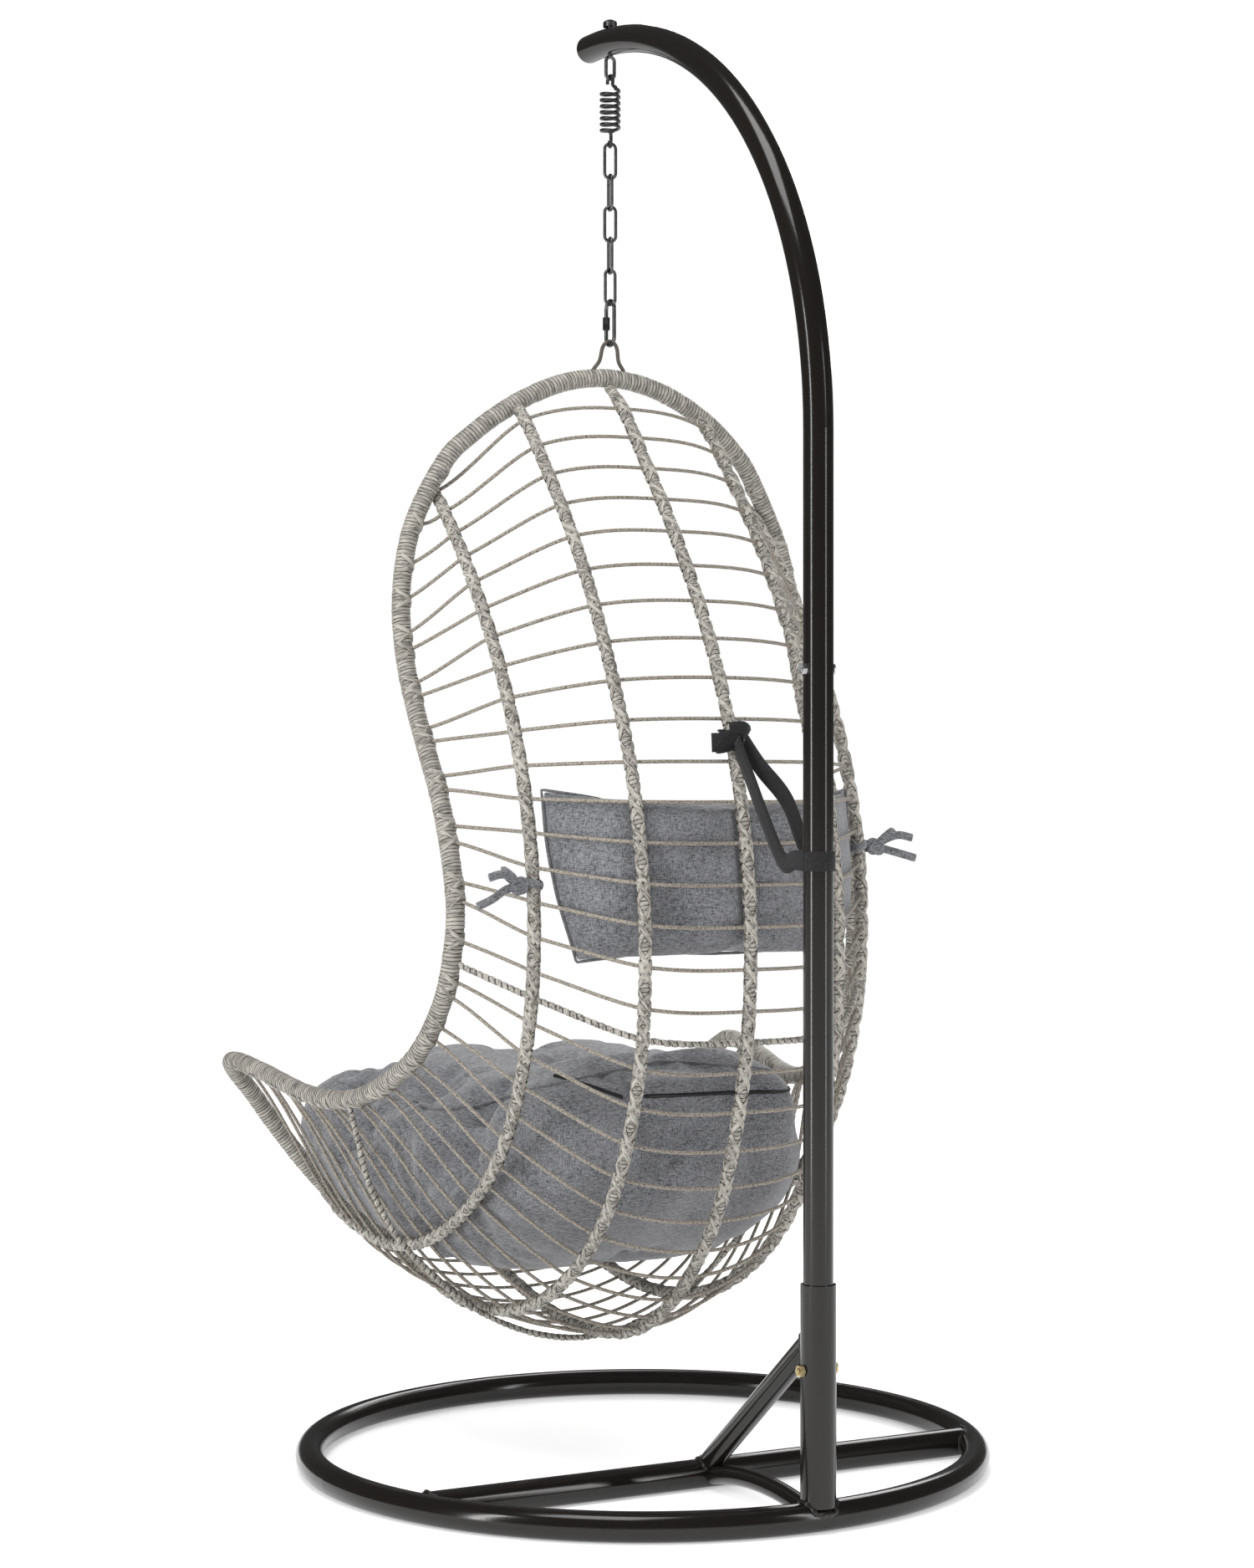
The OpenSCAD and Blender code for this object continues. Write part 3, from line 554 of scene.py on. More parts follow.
laces = Batch()
for number, (name, (rib, side)) in enumerate(RIBS.items()):
    angles = np.linspace(RIB_TOP[rib], RIB_FRONT[rib], 120)
    path = Path([place(fan(side * RIB_X[rib], rho(rib, a), a)) for a in angles], first=(1, 0, 0))
    finish(wrapped(name + "_wrapping", path, RIB_R - RIB_SUNK, RIB_TURN, RIB_RIDGE, 14, 10 + number),
           CANE, "wrapped_cane", "basket", name)
    for k, phi in enumerate(STRANDS):
        if phi > RIB_TOP[rib] - 1.5 or phi < RIB_FRONT[rib] + 1.5:
            continue
        s0 = float(np.interp(-phi, -angles, path.s))
        out = outward(side * RIB_X[rib], phi)
        for way in (1, -1):
            for shift in (-LACE_SHIFT, LACE_SHIFT):
                lacing(laces, path, s0 + shift, way * out, RIB_R - 0.0002, *RIB_LACE,
                       seed=90 * number + 4 * k + (shift > 0))
finish(laces.build("rib_lacing"), CANE, "wrapped_cane", "basket")

hoop_phi = STRANDS[HOOP_INDEX]
hoop_x = np.linspace(-RIB_X[2], RIB_X[2], 41)
hoop = [place(fan(x, strand_rho(hoop_phi, x), hoop_phi)) for x in hoop_x]
ends = [place(fan(side * rim_at(hoop_phi - 1)[0], rim_at(hoop_phi - 1)[1], hoop_phi - 1)) for side in (-1, 1)]
HOOP = Path(np.vstack([curve([ends[0], hoop[0]], 6)[:-1], hoop, curve([hoop[-1], ends[1]], 6)[1:]]))
finish(wrapped("seat_hoop_wrapping", HOOP, HOOP_R - HOOP_SUNK, HOOP_TURN, HOOP_RIDGE, 12, 21),
       CANE, "wrapped_cane", "basket", "seat_hoop")
cradle = [place((x, CRADLE_Y, z)) for x, z in CRADLE_HALF]
cradle = curve(np.vstack([cradle, (np.array(cradle) * [-1, 1, 1])[-2::-1]]), 8)
CRADLE = Path(cradle, first=(0, 1, 0))
finish(wrapped("cradle_hoop_wrapping", CRADLE, HOOP_R - HOOP_SUNK, HOOP_TURN, HOOP_RIDGE, 12, 22),
       CANE, "wrapped_cane", "basket", "cradle_hoop")

# ---------------------------------------------------------------- strands
PAIR_LEAN = 0.007
STRAIGHT_STRANDS = 4


def pair_lean(k, rim_rho):
    """The angle by which a strand's end leans towards its neighbour, alternately up and down."""
    return 0 if k < STRAIGHT_STRANDS else math.degrees(PAIR_LEAN / rim_rho) * (-1 if k % 2 == 0 else 1)


def strand_line(k, phi):
    """A strand from rim to rim; its ends lean in pairs where they meet the rim."""
    rim_x, rim_rho = rim_at(phi)
    short = rim_x < RIB_X[2] + RIM_R
    x_end = rim_x - (RIM_R - 0.004) if short else rim_x
    lean = pair_lean(k, rim_rho)
    xs = np.concatenate([np.linspace(0, RIB_X[2] if not short else x_end, 26),
                         [] if short else np.linspace(RIB_X[2], rim_x - 0.004, 18)[1:]])
    half = []
    for x in xs:
        t = 0 if x <= RIB_X[2] or short else (x - RIB_X[2]) / (rim_x - RIB_X[2])
        half.append(place(fan(x, strand_rho(phi, x), phi + lean * t * t * (3 - 2 * t))))
    half = np.array(half)
    return np.vstack([(half * [-1, 1, 1])[:0:-1], half])


strands = Batch()
for k, phi in enumerate(STRANDS):
    if k != HOOP_INDEX:
        strands.tube(Path(strand_line(k, phi)), STRAND_R, 10, 0.010)
finish(strands.build("woven_strands"), STRAND, "strand_cane", "basket", *[
    f"strands_{side}_{bay}" for side in ("left", "right") for bay in ("back", "side", "wing")])

# Short wound collars where each strand's end is tied into the rim
collars = Batch()
rim_line = RIM.p[:-1]
rim_s = RIM.s[:-1]
for k, phi in enumerate(STRANDS):
    if k == HOOP_INDEX:
        continue
    lean = pair_lean(k, rim_at(phi)[1])
    for side in (-1, 1):
        rim_x, rim_rho = rim_at(phi + lean)
        end = place(fan(side * rim_x, rim_rho, phi + lean))
        near = int(np.argmin(np.linalg.norm(rim_line - end, axis=1)))
        inward = place(fan(side * RIB_X[2] * 0.9, strand_rho(phi, RIB_X[2] * 0.9), phi)) - end
        lacing(collars, RIM, rim_s[near], inward / np.linalg.norm(inward), RIM_R + 0.0001, *RIM_LACE,
               spread=95, seed=400 + 2 * k)
finish(collars.build("rim_lacing"), CANE, "wrapped_cane", "basket")

# ---------------------------------------------------------------- hanging loop and spring
rim_top = place(RIM_HALF[0])
LOOP_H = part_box("hanging_loop")[1][2] - rim_top[2]
ROD_R = 0.00275
half = [(0, LOOP_H - ROD_R), (0.0068, LOOP_H - ROD_R - 0.0026), (0.0117, LOOP_H - 0.013), (0.015, 0.024),
        (0.022, RIM_R + 0.001), (0.026, RIM_R - 0.005)]
left = [(x, HOOK_Y + RIM_HALF[0][1] * (1 - z / LOOP_H), rim_top[2] + z) for x, z in half]
loop = Batch()
rod = curve([(-x, y, z) for x, y, z in left[::-1]] + left[1:], 10)
loop.tube(Path(rod, first=(0, 1, 0)), ROD_R, 14, 0.0025)
finish(loop.build("hanging_loop_rod"), LOOP, "loop_paint", "basket", "hanging_loop")

s_low, s_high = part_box("coil_spring")
WIRE_GAP = 0.002
WIRE_R = 0.0025
COIL_R = (s_high[0] - s_low[0]) / 2 - WIRE_R
spring_mid = (s_low[2] + s_high[2]) / 2
spring_len = s_high[2] - s_low[2]
HOOK_R = 0.008
TURNS = 7
LOW_TURN = math.radians(70)
COIL_STEPS = 32
HOOK_STEPS = 24
coil_rise = spring_len - 2 * (1.75 * HOOK_R + 4 * WIRE_GAP)


def hook(end):
    a = [math.radians(-15 + 210 * i / HOOK_STEPS) for i in range(HOOK_STEPS + 1)]
    return [(HOOK_R * math.cos(b), end * (spring_len / 2 - WIRE_GAP - HOOK_R + HOOK_R * math.sin(b)))
            for b in a]


shank = coil_rise / 2 + 2 * WIRE_GAP
top = [(0, u, z) for u, z in hook(1)[::-1]]
low = [(u * math.cos(LOW_TURN), u * math.sin(LOW_TURN), z) for u, z in hook(-1)]
coil = [(COIL_R * math.cos(a), COIL_R * math.sin(a), coil_rise / 2 - coil_rise * i / (TURNS * COIL_STEPS))
        for i in range(TURNS * COIL_STEPS + 1) for a in [math.radians(90) + 2 * math.pi * i / COIL_STEPS]]
into = curve([top[-1], (0, HOOK_R, shank + 0.001),
              (-COIL_R * 0.35, HOOK_R * 1.25, shank - WIRE_GAP), coil[0]], 6)
outof = curve([coil[-1], (COIL_R * 0.35, HOOK_R * 1.1, -shank + WIRE_GAP),
               (low[0][0] * 1.02, low[0][1] * 1.02, -shank - 0.001), low[0]], 6)
route = np.array(top[:-1] + list(into[:-1]) + coil[:-1] + list(outof[:-1]) + low) + [0, HOOK_Y, spring_mid]
spring = Batch()
spring.tube(Path(route, first=(1, 0, 0)), WIRE_R, 12, 0.0022)
finish(spring.build("spring_wire"), SPRING, "spring_steel", "spring", "coil_spring")

# ---------------------------------------------------------------- weld beads on the stand
welds = Batch()


def bead(points, radius=0.0032, closed=True):
    path = Path(points, first=(0, 0, 1), closed=closed)
    welds.tube(path, lambda s: radius * (1 + 0.22 * np.sin(s / 0.0022)), 8, 0.0011)


def circle(mid, radius, axis, count=72):
    axis = np.array(axis, float) / np.linalg.norm(axis)
    u = np.cross(axis, (1, 0, 0) if abs(axis[0]) < 0.9 else (0, 1, 0))
    u /= np.linalg.norm(u)
    w = np.cross(axis, u)
    return [np.array(mid) + radius * (math.cos(a) * u + math.sin(a) * w)
            for a in (2 * math.pi * i / count for i in range(count))]


RING_R = (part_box("base_ring")[1][0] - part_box("base_ring")[0][0]) / 2 - POLE_R
SOCKET_R = (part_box("post_socket")[1][0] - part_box("post_socket")[0][0]) / 2


def saddle(mid, axis, radius, onto, onto_axis, onto_r):
    """Where a tube meets a round tube: each point of its wall moved along it to the other's surface."""
    axis = np.array(axis, float) / np.linalg.norm(axis)
    onto_axis = np.array(onto_axis, float) / np.linalg.norm(onto_axis)
    out = []
    for p in circle(mid, radius, axis):
        q = p - np.array(onto)
        q = q - q.dot(onto_axis) * onto_axis
        d = axis - axis.dot(onto_axis) * onto_axis
        a, b, c = d.dot(d), 2 * q.dot(d), q.dot(q) - onto_r ** 2
        root = b * b - 4 * a * c
        t = (-b - math.sqrt(root)) / (2 * a) if root > 0 else -b / (2 * a)
        out.append(p + axis * t)
    return out


BRACE_R = 0.015
bar_y = middle("base_crossbar")[1]
foot = np.array([0, bar_y, 0.0285])
head_z = 0.231
head = np.array([0, POLE[1], head_z + SOCKET_R * (head_z - foot[2]) / (POLE[1] - bar_y)])
run = head - foot
bead(saddle(foot, run, BRACE_R, (0, POLE[1], 0), (0, 0, 1), SOCKET_R))
bead(saddle(head, -run, BRACE_R, (0, bar_y, POLE_R), (1, 0, 0), POLE_R))
BAR_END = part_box("base_crossbar")[1][0]
for side in (-1, 1):
    points = []
    for p in circle((0, bar_y, POLE_R), POLE_R, (1, 0, 0)):
        # Along the bar to the ring's inner wall at that height
        h = p[2] - POLE_R
        inner = RING_R - math.sqrt(max(POLE_R ** 2 - h * h, 0))
        points.append((side * min(math.sqrt(max(inner ** 2 - p[1] ** 2, 0)), BAR_END), p[1], p[2]))
    bead([p for p in points if p[2] > 0.004], 0.0024, closed=False)
collar = []
for p in circle((0, POLE[1], 0), SOCKET_R, (0, 0, 1), count=90):
    d = abs(math.hypot(p[0], p[1]) - RING_R)
    collar.append((p[0], p[1], POLE_R + math.sqrt(max(POLE_R ** 2 - d * d, 0.00003)) + 0.0008))
bead(collar)
finish(welds.build("weld_beads"), WELD, "black_paint", "stand")


# ---------------------------------------------------------------- cushions
PUFF_FRAMES = 20


def puff(obj, voxel, pressure, cap):
    """Blow the cloth up a little from inside, as filling does, with no vertex moved further than cap."""
    bpy.context.view_layer.objects.active = obj
    for other in bpy.context.selected_objects:
        other.select_set(False)
    obj.select_set(True)
    if voxel:
        remesh = obj.modifiers.new("remesh", "REMESH")
        remesh.mode = "VOXEL"
        remesh.voxel_size = voxel
        bpy.ops.object.modifier_apply(modifier="remesh")
    before = np.array([v.co for v in obj.data.vertices])
    cloth = obj.modifiers.new("cloth", "CLOTH")
    cloth.settings.use_pressure = True
    cloth.settings.uniform_pressure_force = pressure
    cloth.settings.quality = 5
    cloth.settings.mass = 0.3
    cloth.settings.tension_stiffness = 14
    cloth.settings.compression_stiffness = 14
    cloth.settings.shear_stiffness = 6
    cloth.settings.bending_stiffness = 0.6
    cloth.settings.effector_weights.gravity = 0
    cloth.collision_settings.use_collision = False
    cloth.point_cache.frame_start = 1
    cloth.point_cache.frame_end = PUFF_FRAMES
    for f in range(1, PUFF_FRAMES + 1):
        bpy.context.scene.frame_set(f)
    seen = obj.evaluated_get(bpy.context.evaluated_depsgraph_get()).data
    after = np.array([v.co for v in seen.vertices])
    obj.modifiers.remove(cloth)
    bpy.context.scene.frame_set(1)
    move = after - before
    size = np.linalg.norm(move, axis=1)
    move *= np.minimum(1, cap / np.maximum(size, 1e-9))[:, None]
    obj.data.vertices.foreach_set("co", (before + move).ravel())
    obj.data.update()


STRAND_GAP, RIB_GAP = 0.0045, 0.0105


def keep_inside(co):
    """Points pressed against the basket stop at its strands, and a little sooner at its ribs."""
    out = co.copy()
    origin = place((0, FAN[0], FAN[1]))
    d = co[:, 1:] - origin[1:]
    r = np.hypot(d[:, 0], d[:, 1])
    phi = np.degrees(np.arctan2(d[:, 1], d[:, 0]))
    xs = np.linspace(0, 0.42, 43)
    ps = np.linspace(-104, 60, 165)
    wall = np.array([[strand_rho(p, min(x, rim_at(p)[0])) for x in xs] for p in ps])
    fi = np.clip((phi - ps[0]) / (ps[1] - ps[0]), 0, len(ps) - 1.001)
    fx = np.clip(np.abs(co[:, 0]) / (xs[1] - xs[0]), 0, len(xs) - 1.001)
    i, j = fi.astype(int), fx.astype(int)
    u, v = fi - i, fx - j
    w = (wall[i, j] * (1 - u) * (1 - v) + wall[i + 1, j] * u * (1 - v)
         + wall[i, j + 1] * (1 - u) * v + wall[i + 1, j + 1] * u * v)
    near = np.min([np.abs(np.abs(co[:, 0]) - x) for x in RIB_X], axis=0)
    gap = STRAND_GAP + (RIB_GAP - STRAND_GAP) * np.exp(-(near / 0.013) ** 4)
    slope = np.abs(wall[i, j + 1] - wall[i, j]) / (xs[1] - xs[0])
    limit = w - gap * np.sqrt(1 + slope ** 2)
    scale = np.minimum(1, limit / np.maximum(r, 1e-6))
    out[:, 1] = origin[1] + d[:, 0] * scale
    out[:, 2] = origin[2] + d[:, 1] * scale
    return out


def vertices(obj):
    co = np.empty(len(obj.data.vertices) * 3)
    obj.data.vertices.foreach_get("co", co)
    return co.reshape(-1, 3)


def set_vertices(obj, co):
    obj.data.vertices.foreach_set("co", np.asarray(co, float).ravel())
    obj.data.update()


def loft(rows, sides):
    faces = [(i * sides + k, i * sides + (k + 1) % sides,
              (i + 1) * sides + (k + 1) % sides, (i + 1) * sides + k)
             for i in range(rows - 1) for k in range(sides)]
    faces.append(tuple(range(sides - 1, -1, -1)))
    faces.append(tuple((rows - 1) * sides + k for k in range(sides)))
    return faces


def oval(sides, power):
    out = []
    for k in range(sides):
        c, s = math.cos(2 * math.pi * k / sides), math.sin(2 * math.pi * k / sides)
        out.append((math.copysign(abs(c) ** (2 / power), c), math.copysign(abs(s) ** (2 / power), s)))
    return out


SEAT_MID_Y, SEAT_L = -0.085, 0.620
ABOVE, BELOW = 0.095, 0.150
HALF_W = [0.345, 0.340, 0.335, 0.318, 0.290, 0.255, 0.195]
MID_Z = [0.455, 0.440, 0.425, 0.418, 0.425, 0.452, 0.492]
SEAT_ROWS, SEAT_SIDES = 41, 72


def seat_at(t):
    s = (t + 1) / 2 * (len(HALF_W) - 1)
    return float(np.interp(s, range(len(HALF_W)), HALF_W)), float(np.interp(s, range(len(MID_Z)), MID_Z))


rows = []
for i in range(SEAT_ROWS):
    t = math.sin(math.pi / 2 * (-1 + 2 * i / (SEAT_ROWS - 1)))
    full = max(1 - abs(0.985 * t) ** 4, 0) ** 0.25
    w, z = seat_at(t)
    w *= 0.80 + 0.20 * full
    rows.append([place((x * w, SEAT_MID_Y + t * SEAT_L / 2, z + y * (ABOVE if y > 0 else BELOW) * full))
                 for x, y in oval(SEAT_SIDES, 3.2)])
seat = mesh_object("seat_cushion_cover", np.array(rows).reshape(-1, 3), loft(SEAT_ROWS, SEAT_SIDES))
puff(seat, 0.009, 3.5, 0.022)
co = vertices(seat)


def tuft(co, centre, inward, depth, reach, fold=0.005):
    """Pull the cover in at a button, with pleats that run out from it."""
    inward = np.array(inward, float) / np.linalg.norm(inward)
    d = co - centre
    away = d @ inward
    flat = d - away[:, None] * inward
    u = np.cross(inward, (0.3, 0.9, 0.2))
    u /= np.linalg.norm(u)
    around = np.arctan2(flat @ np.cross(inward, u), flat @ u)
    r = np.linalg.norm(flat, axis=1)
    near = np.exp(-(away / 0.09) ** 4)
    pull = depth * np.exp(-(r / (0.35 * reach)) ** 1.3) + 0.35 * depth * np.exp(-(r / reach) ** 2)
    pleat = fold * np.cos(7 * around + 40 * centre[0]) * np.exp(-((r - 0.55 * reach) / (0.42 * reach)) ** 2)
    return co + (near * (pull + pleat))[:, None] * inward


for ty in (-0.30, -0.13, 0.04):
    for tx in (-0.21, 0.0, 0.21):
        z = seat_at((ty - SEAT_MID_Y) / (SEAT_L / 2))[1]
        co = tuft(co, place((tx, ty, z + ABOVE)), (0, 0, -1), 0.040, 0.075)
        co = tuft(co, place((tx, ty, z - 0.8 * BELOW)), (0, 0, 1), 0.022, 0.075)
for side in (-1, 1):
    for ty, tz, depth in ((0.03, 0.40, 0.046), (-0.21, 0.43, 0.042), (-0.09, 0.34, 0.030)):
        co = tuft(co, place((side * 0.315, ty, tz)), (-side, 0, 0.25), depth, 0.100, 0.009)
# The back corners stand up
rise = np.exp(-((np.abs(co[:, 0]) - 0.225) / 0.045) ** 2 - ((co[:, 1] - HOOK_Y - 0.14) / 0.07) ** 2)
co[:, 2] += 0.040 * rise * np.clip((co[:, 2] - 0.46) / 0.08, 0, 1)
# Soft creases down the sides and the back
at_side = np.clip((np.abs(co[:, 0]) - 0.16) / 0.12, 0, 1)
at_back = np.clip((co[:, 1] - HOOK_Y) / 0.1, 0, 1)
side_wave = 0.0032 * np.sin(co[:, 1] * 58 + 3 * np.sin(co[:, 2] * 22)) * at_side
back_wave = 0.0045 * np.sin(co[:, 0] * 33 + 4 * np.sin(co[:, 2] * 15)) * at_back
co[:, 0] -= np.sign(co[:, 0]) * (0.003 + side_wave)
co[:, 1] -= 0.004 + back_wave
set_vertices(seat, keep_inside(co))


def subdivide(obj):
    bpy.context.view_layer.objects.active = obj
    mod = obj.modifiers.new("subdivide", "SUBSURF")
    mod.levels = mod.render_levels = 1
    bpy.ops.object.modifier_apply(modifier="subdivide")
    obj.data.polygons.foreach_set("use_smooth", [True] * len(obj.data.polygons))


subdivide(seat)
finish(seat, CLOTH, "cushion_fabric", "basket", "seat_cushion")


def surface_line(obj, start_points, direction):
    """Points dropped along a direction onto a mesh."""
    bpy.context.view_layer.update()
    out = []
    for p in start_points:
        hit, at, normal, _ = obj.ray_cast(Vector(p), Vector(direction))
        if hit:
            out.append((np.array(at), np.array(normal)))
    return out


def seam(name, points, radius, mat, slot, sink=0.3):
    """A cord along points of a cover, smoothed twice and sunk a little into the cloth."""
    batch = Batch()
    line = np.array([p + n * radius * (1 - sink) for p, n in points])
    smooth_line = line.copy()
    for _ in range(2):
        smooth_line[1:-1] = (smooth_line[:-2] + smooth_line[1:-1] * 2 + smooth_line[2:]) / 4
    batch.tube(Path(smooth_line, first=(0, 0, 1)), radius, 8, 0.004)
    return finish(batch.build(name), mat, slot, "basket")


# Seam cord round the top edge of the seat cushion's back and sides, and the zip below it
BEHIND_Y = 0.6
loop_points = []
for i in range(121):
    a = math.radians(-80 + 340 * i / 120)
    cord_z = seat_at(math.sin(a))[1] + 0.060
    outer = place((0.6 * math.cos(a), SEAT_MID_Y + 0.6 * math.sin(a), cord_z))
    inner_point = place((0, SEAT_MID_Y, cord_z))
    loop_points += surface_line(seat, [outer], Vector(inner_point - outer).normalized())
seam("seat_seam_cord", loop_points, 0.0022, PIPING, "cushion_fabric")
ZIP_Z = seat_at(0.9)[1] + 0.030
for number, (x0, x1, z0, z1) in enumerate(((-0.19, 0.060, 0.0, 0.004), (0.092, 0.205, 0.004, 0.046))):
    zip_points = []
    for i in range(41):
        f = i / 40
        start = place((x0 + (x1 - x0) * f, BEHIND_Y, ZIP_Z + z0 + (z1 - z0) * f))
        zip_points += surface_line(seat, [start], (0, -1, 0))
    seam(f"seat_zip_{number + 1}", zip_points, 0.0026, ZIP, "plug_plastic", sink=0.6)
corner_points = []
for i in range(31):
    start = place((0.078 + 0.004 * math.sin(i / 6), BEHIND_Y, ZIP_Z + 0.030 - 0.125 * i / 30))
    corner_points += surface_line(seat, [start], (0, -1, 0))
seam("seat_corner_seam", corner_points, 0.0016, PIPING, "cushion_fabric")

# Neck cushion: a knife-edge pillow held against the back
NECK_PHI = -10.0
neck_low, neck_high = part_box("neck_cushion")
NECK_W, NECK_H = neck_high[0] - neck_low[0] + 0.030, 0.228
neck_z = (neck_low[2] + neck_high[2]) / 2
SHEET_N, SHEET_M = 56, 28


def pillow_point(u, v, face):
    corner = (abs(u) * abs(v)) ** 4
    x = u * NECK_W / 2 * (0.97 + 0.045 * (1 - v * v) + 0.01 * corner - 0.13 * (1 - v) / 2)
    z = v * NECK_H / 2 * (0.96 + 0.05 * (1 - u * u) + 0.02 * corner)
    thick = 0.052 * max((1 - abs(u) ** 4) * (1 - abs(v) ** 2.8), 0) ** 0.5
    wall = place(fan(x, strand_rho(NECK_PHI, abs(x)), NECK_PHI))
    back = wall[1] - RIB_R - 0.004 - 0.055 * (0.35 + 0.65 * (1 - abs(u) ** 4))
    return x, back + face * thick, neck_z + z


verts, index, faces = [], {}, []
for face in (1, -1):
    for i in range(SHEET_N + 1):
        for j in range(SHEET_M + 1):
            u, v = -1 + 2 * i / SHEET_N, -1 + 4 * j / SHEET_N
            rim_point = i in (0, SHEET_N) or j in (0, SHEET_M)
            key = (i, j, 0 if rim_point else face)
            if key not in index:
                index[key] = len(verts)
                verts.append(pillow_point(u, v, face))
    for i in range(SHEET_N):
        for j in range(SHEET_M):
            q = []
            for a, b in ((i, j), (i + 1, j), (i + 1, j + 1), (i, j + 1)):
                edge = a in (0, SHEET_N) or b in (0, SHEET_M)
                q.append(index[(a, b, 0 if edge else face)])
            faces.append(q[::-1] if face > 0 else q)
edge_keys = ([(i, 0) for i in range(SHEET_N)] + [(SHEET_N, j) for j in range(SHEET_M)]
             + [(i, SHEET_M) for i in range(SHEET_N, 0, -1)] + [(0, j) for j in range(SHEET_M, 0, -1)])
edge_index = [index[(i, j, 0)] for i, j in edge_keys]
neck = mesh_object("neck_cushion_cover", verts, faces)
puff(neck, None, 4.0, 0.018)
co = vertices(neck)
above = co[:, 2] - neck_z
fold = 0.011 * np.sin(co[:, 0] * 30 + 1.3) * np.clip(1 - np.abs(above) / 0.12, 0, 1)
fold += 0.0025 * np.sin(co[:, 0] * 70 + 12 * above) * np.clip(np.abs(above) / 0.1 - 0.2, 0, 1)
co[:, 1] += fold
co = keep_inside(co)
neck_edge = co[edge_index]
set_vertices(neck, co)
subdivide(neck)
finish(neck, CLOTH, "cushion_fabric", "basket", "neck_cushion")
edge = Batch()
edge.tube(Path(neck_edge, closed=True), 0.0020, 8, 0.005)
finish(edge.build("neck_seam_cord"), PIPING, "cushion_fabric", "basket")


# ---------------------------------------------------------------- ties: tape round the outer ribs, with a bow
def tape(batch, points, width, thick):
    """A flat, slightly rolled tape along points."""
    path = Path(curve(points, 8))
    count = max(int(path.length / 0.003), 4)
    s = np.linspace(0, path.length, count + 1)
    c, t, v, w = path.at(s)
    n = 10
    th = np.arange(n) * 2 * math.pi / n
    ring = c[:, None] + (np.cos(th)[None, :, None] * v[:, None] * width / 2
                         + np.sin(th)[None, :, None] * w[:, None] * thick / 2)
    faces, uvs = [], []
    for i in range(count):
        for k in range(n):
            m = (k + 1) % n
            faces.append((i * n + k, i * n + m, (i + 1) * n + m, (i + 1) * n + k))
            uvs += [(0, 0)] * 4
    faces += [tuple(range(n - 1, -1, -1)), tuple(count * n + k for k in range(n))]
    uvs += [(0, 0)] * (2 * n)
    batch.add(ring.reshape(-1, 3), faces, uvs)


ties = Batch()
for side, k in ((1, 14), (-1, 13)):
    phi = (STRANDS[k - 1] + STRANDS[k]) / 2
    rib_at = place(fan(side * RIB_X[2], rho(2, phi), phi))
    out = outward(side * RIB_X[2], phi)
    east = np.array([side, 0.0, 0.0])
    knot = rib_at + out * 0.014 + east * 0.012
    around = [rib_at + (RIB_R + 0.0035) * (math.cos(a) * east + math.sin(a) * np.array([0, 1.0, 0]))
              + np.array([0, 0, 0.003 * math.sin(2 * a)]) for a in np.linspace(0, 2 * math.pi, 13)]
    tape(ties, around, 0.010, 0.004)
    pillow_end = np.array([side * (NECK_W / 2 - 0.012), rib_at[1] - 0.035, rib_at[2] + 0.004])
    for dz in (0.004, -0.004):
        tape(ties, [pillow_end, pillow_end * 0.5 + rib_at * 0.5 + [0, -0.006, dz],
                    rib_at + east * 0.004 - out * 0.011 + [0, 0, dz],
                    rib_at + east * 0.013 + [0, 0, dz], knot], 0.009, 0.004)
    for a in np.linspace(0, math.pi, 4)[:3]:
        across_knot = math.cos(a) * out + math.sin(a) * np.array([0, 0, 1.0])
        ringed = [knot + 0.0085 * (math.cos(b) * east + math.sin(b) * across_knot)
                  for b in np.linspace(0, 2 * math.pi, 12)]
        tape(ties, ringed, 0.010, 0.006)
    fall = 0.3 if side > 0 else 0.0
    tape(ties, [knot, knot + east * 0.018 + [0, 0, -0.004],
                knot + east * 0.040 + [0, 0.004, -0.010 - 0.02 * fall],
                knot + east * 0.062 + [0, 0.006, -0.016 - 0.03 * fall]], 0.011, 0.004)
    tape(ties, [knot, knot + east * 0.012 + [0, 0.006, 0.010], knot + east * 0.030 + [0, 0.012, 0.016],
                knot + east * 0.050 + [0, 0.016, 0.012]], 0.011, 0.004)
    tape(ties, [knot, knot + out * 0.012 + [0, 0, 0.014], knot + out * 0.012 + east * 0.016 + [0, 0, 0.024],
                knot + east * 0.018 + [0, 0, 0.010], knot], 0.010, 0.004)
finish(ties.build("neck_cushion_bows"), CLOTH, "cushion_fabric", "basket", "neck_cushion_ties")

# ---------------------------------------------------------------- safety strap
WEB_W, WEB_T = 0.025, 0.0018
strap_rib = place(fan(0, rho(0, STRAP_PHI), STRAP_PHI))
strap_z = middle("strap_pole_loop")[2]
WRAP_R = POLE_R + 0.0016


def ribbon(points, steps, first=(1, 0, 0), width=WEB_W):
    """Flat webbing along points, with its face towards first."""
    path = Path(curve(points, steps), first=first)
    count = max(int(path.length / 0.004), 4)
    c, t, v, w = path.at(np.linspace(0, path.length, count + 1))
    shape = [(0.5, 0.5), (-0.5, 0.5), (-0.5, 0.17), (-0.5, -0.17),
             (-0.5, -0.5), (0.5, -0.5), (0.5, -0.17), (0.5, 0.17)]
    ring = np.stack([c + a * WEB_T * v + b * width * w for a, b in shape], 1)
    n = len(shape)
    faces = [(i * n + k, i * n + (k + 1) % n, (i + 1) * n + (k + 1) % n, (i + 1) * n + k)
             for i in range(count) for k in range(n)]
    faces += [tuple(range(n - 1, -1, -1)), tuple(count * n + k for k in range(n))]
    return ring.reshape(-1, 3), faces, [(0, 0)] * (4 * n * count + 2 * n)


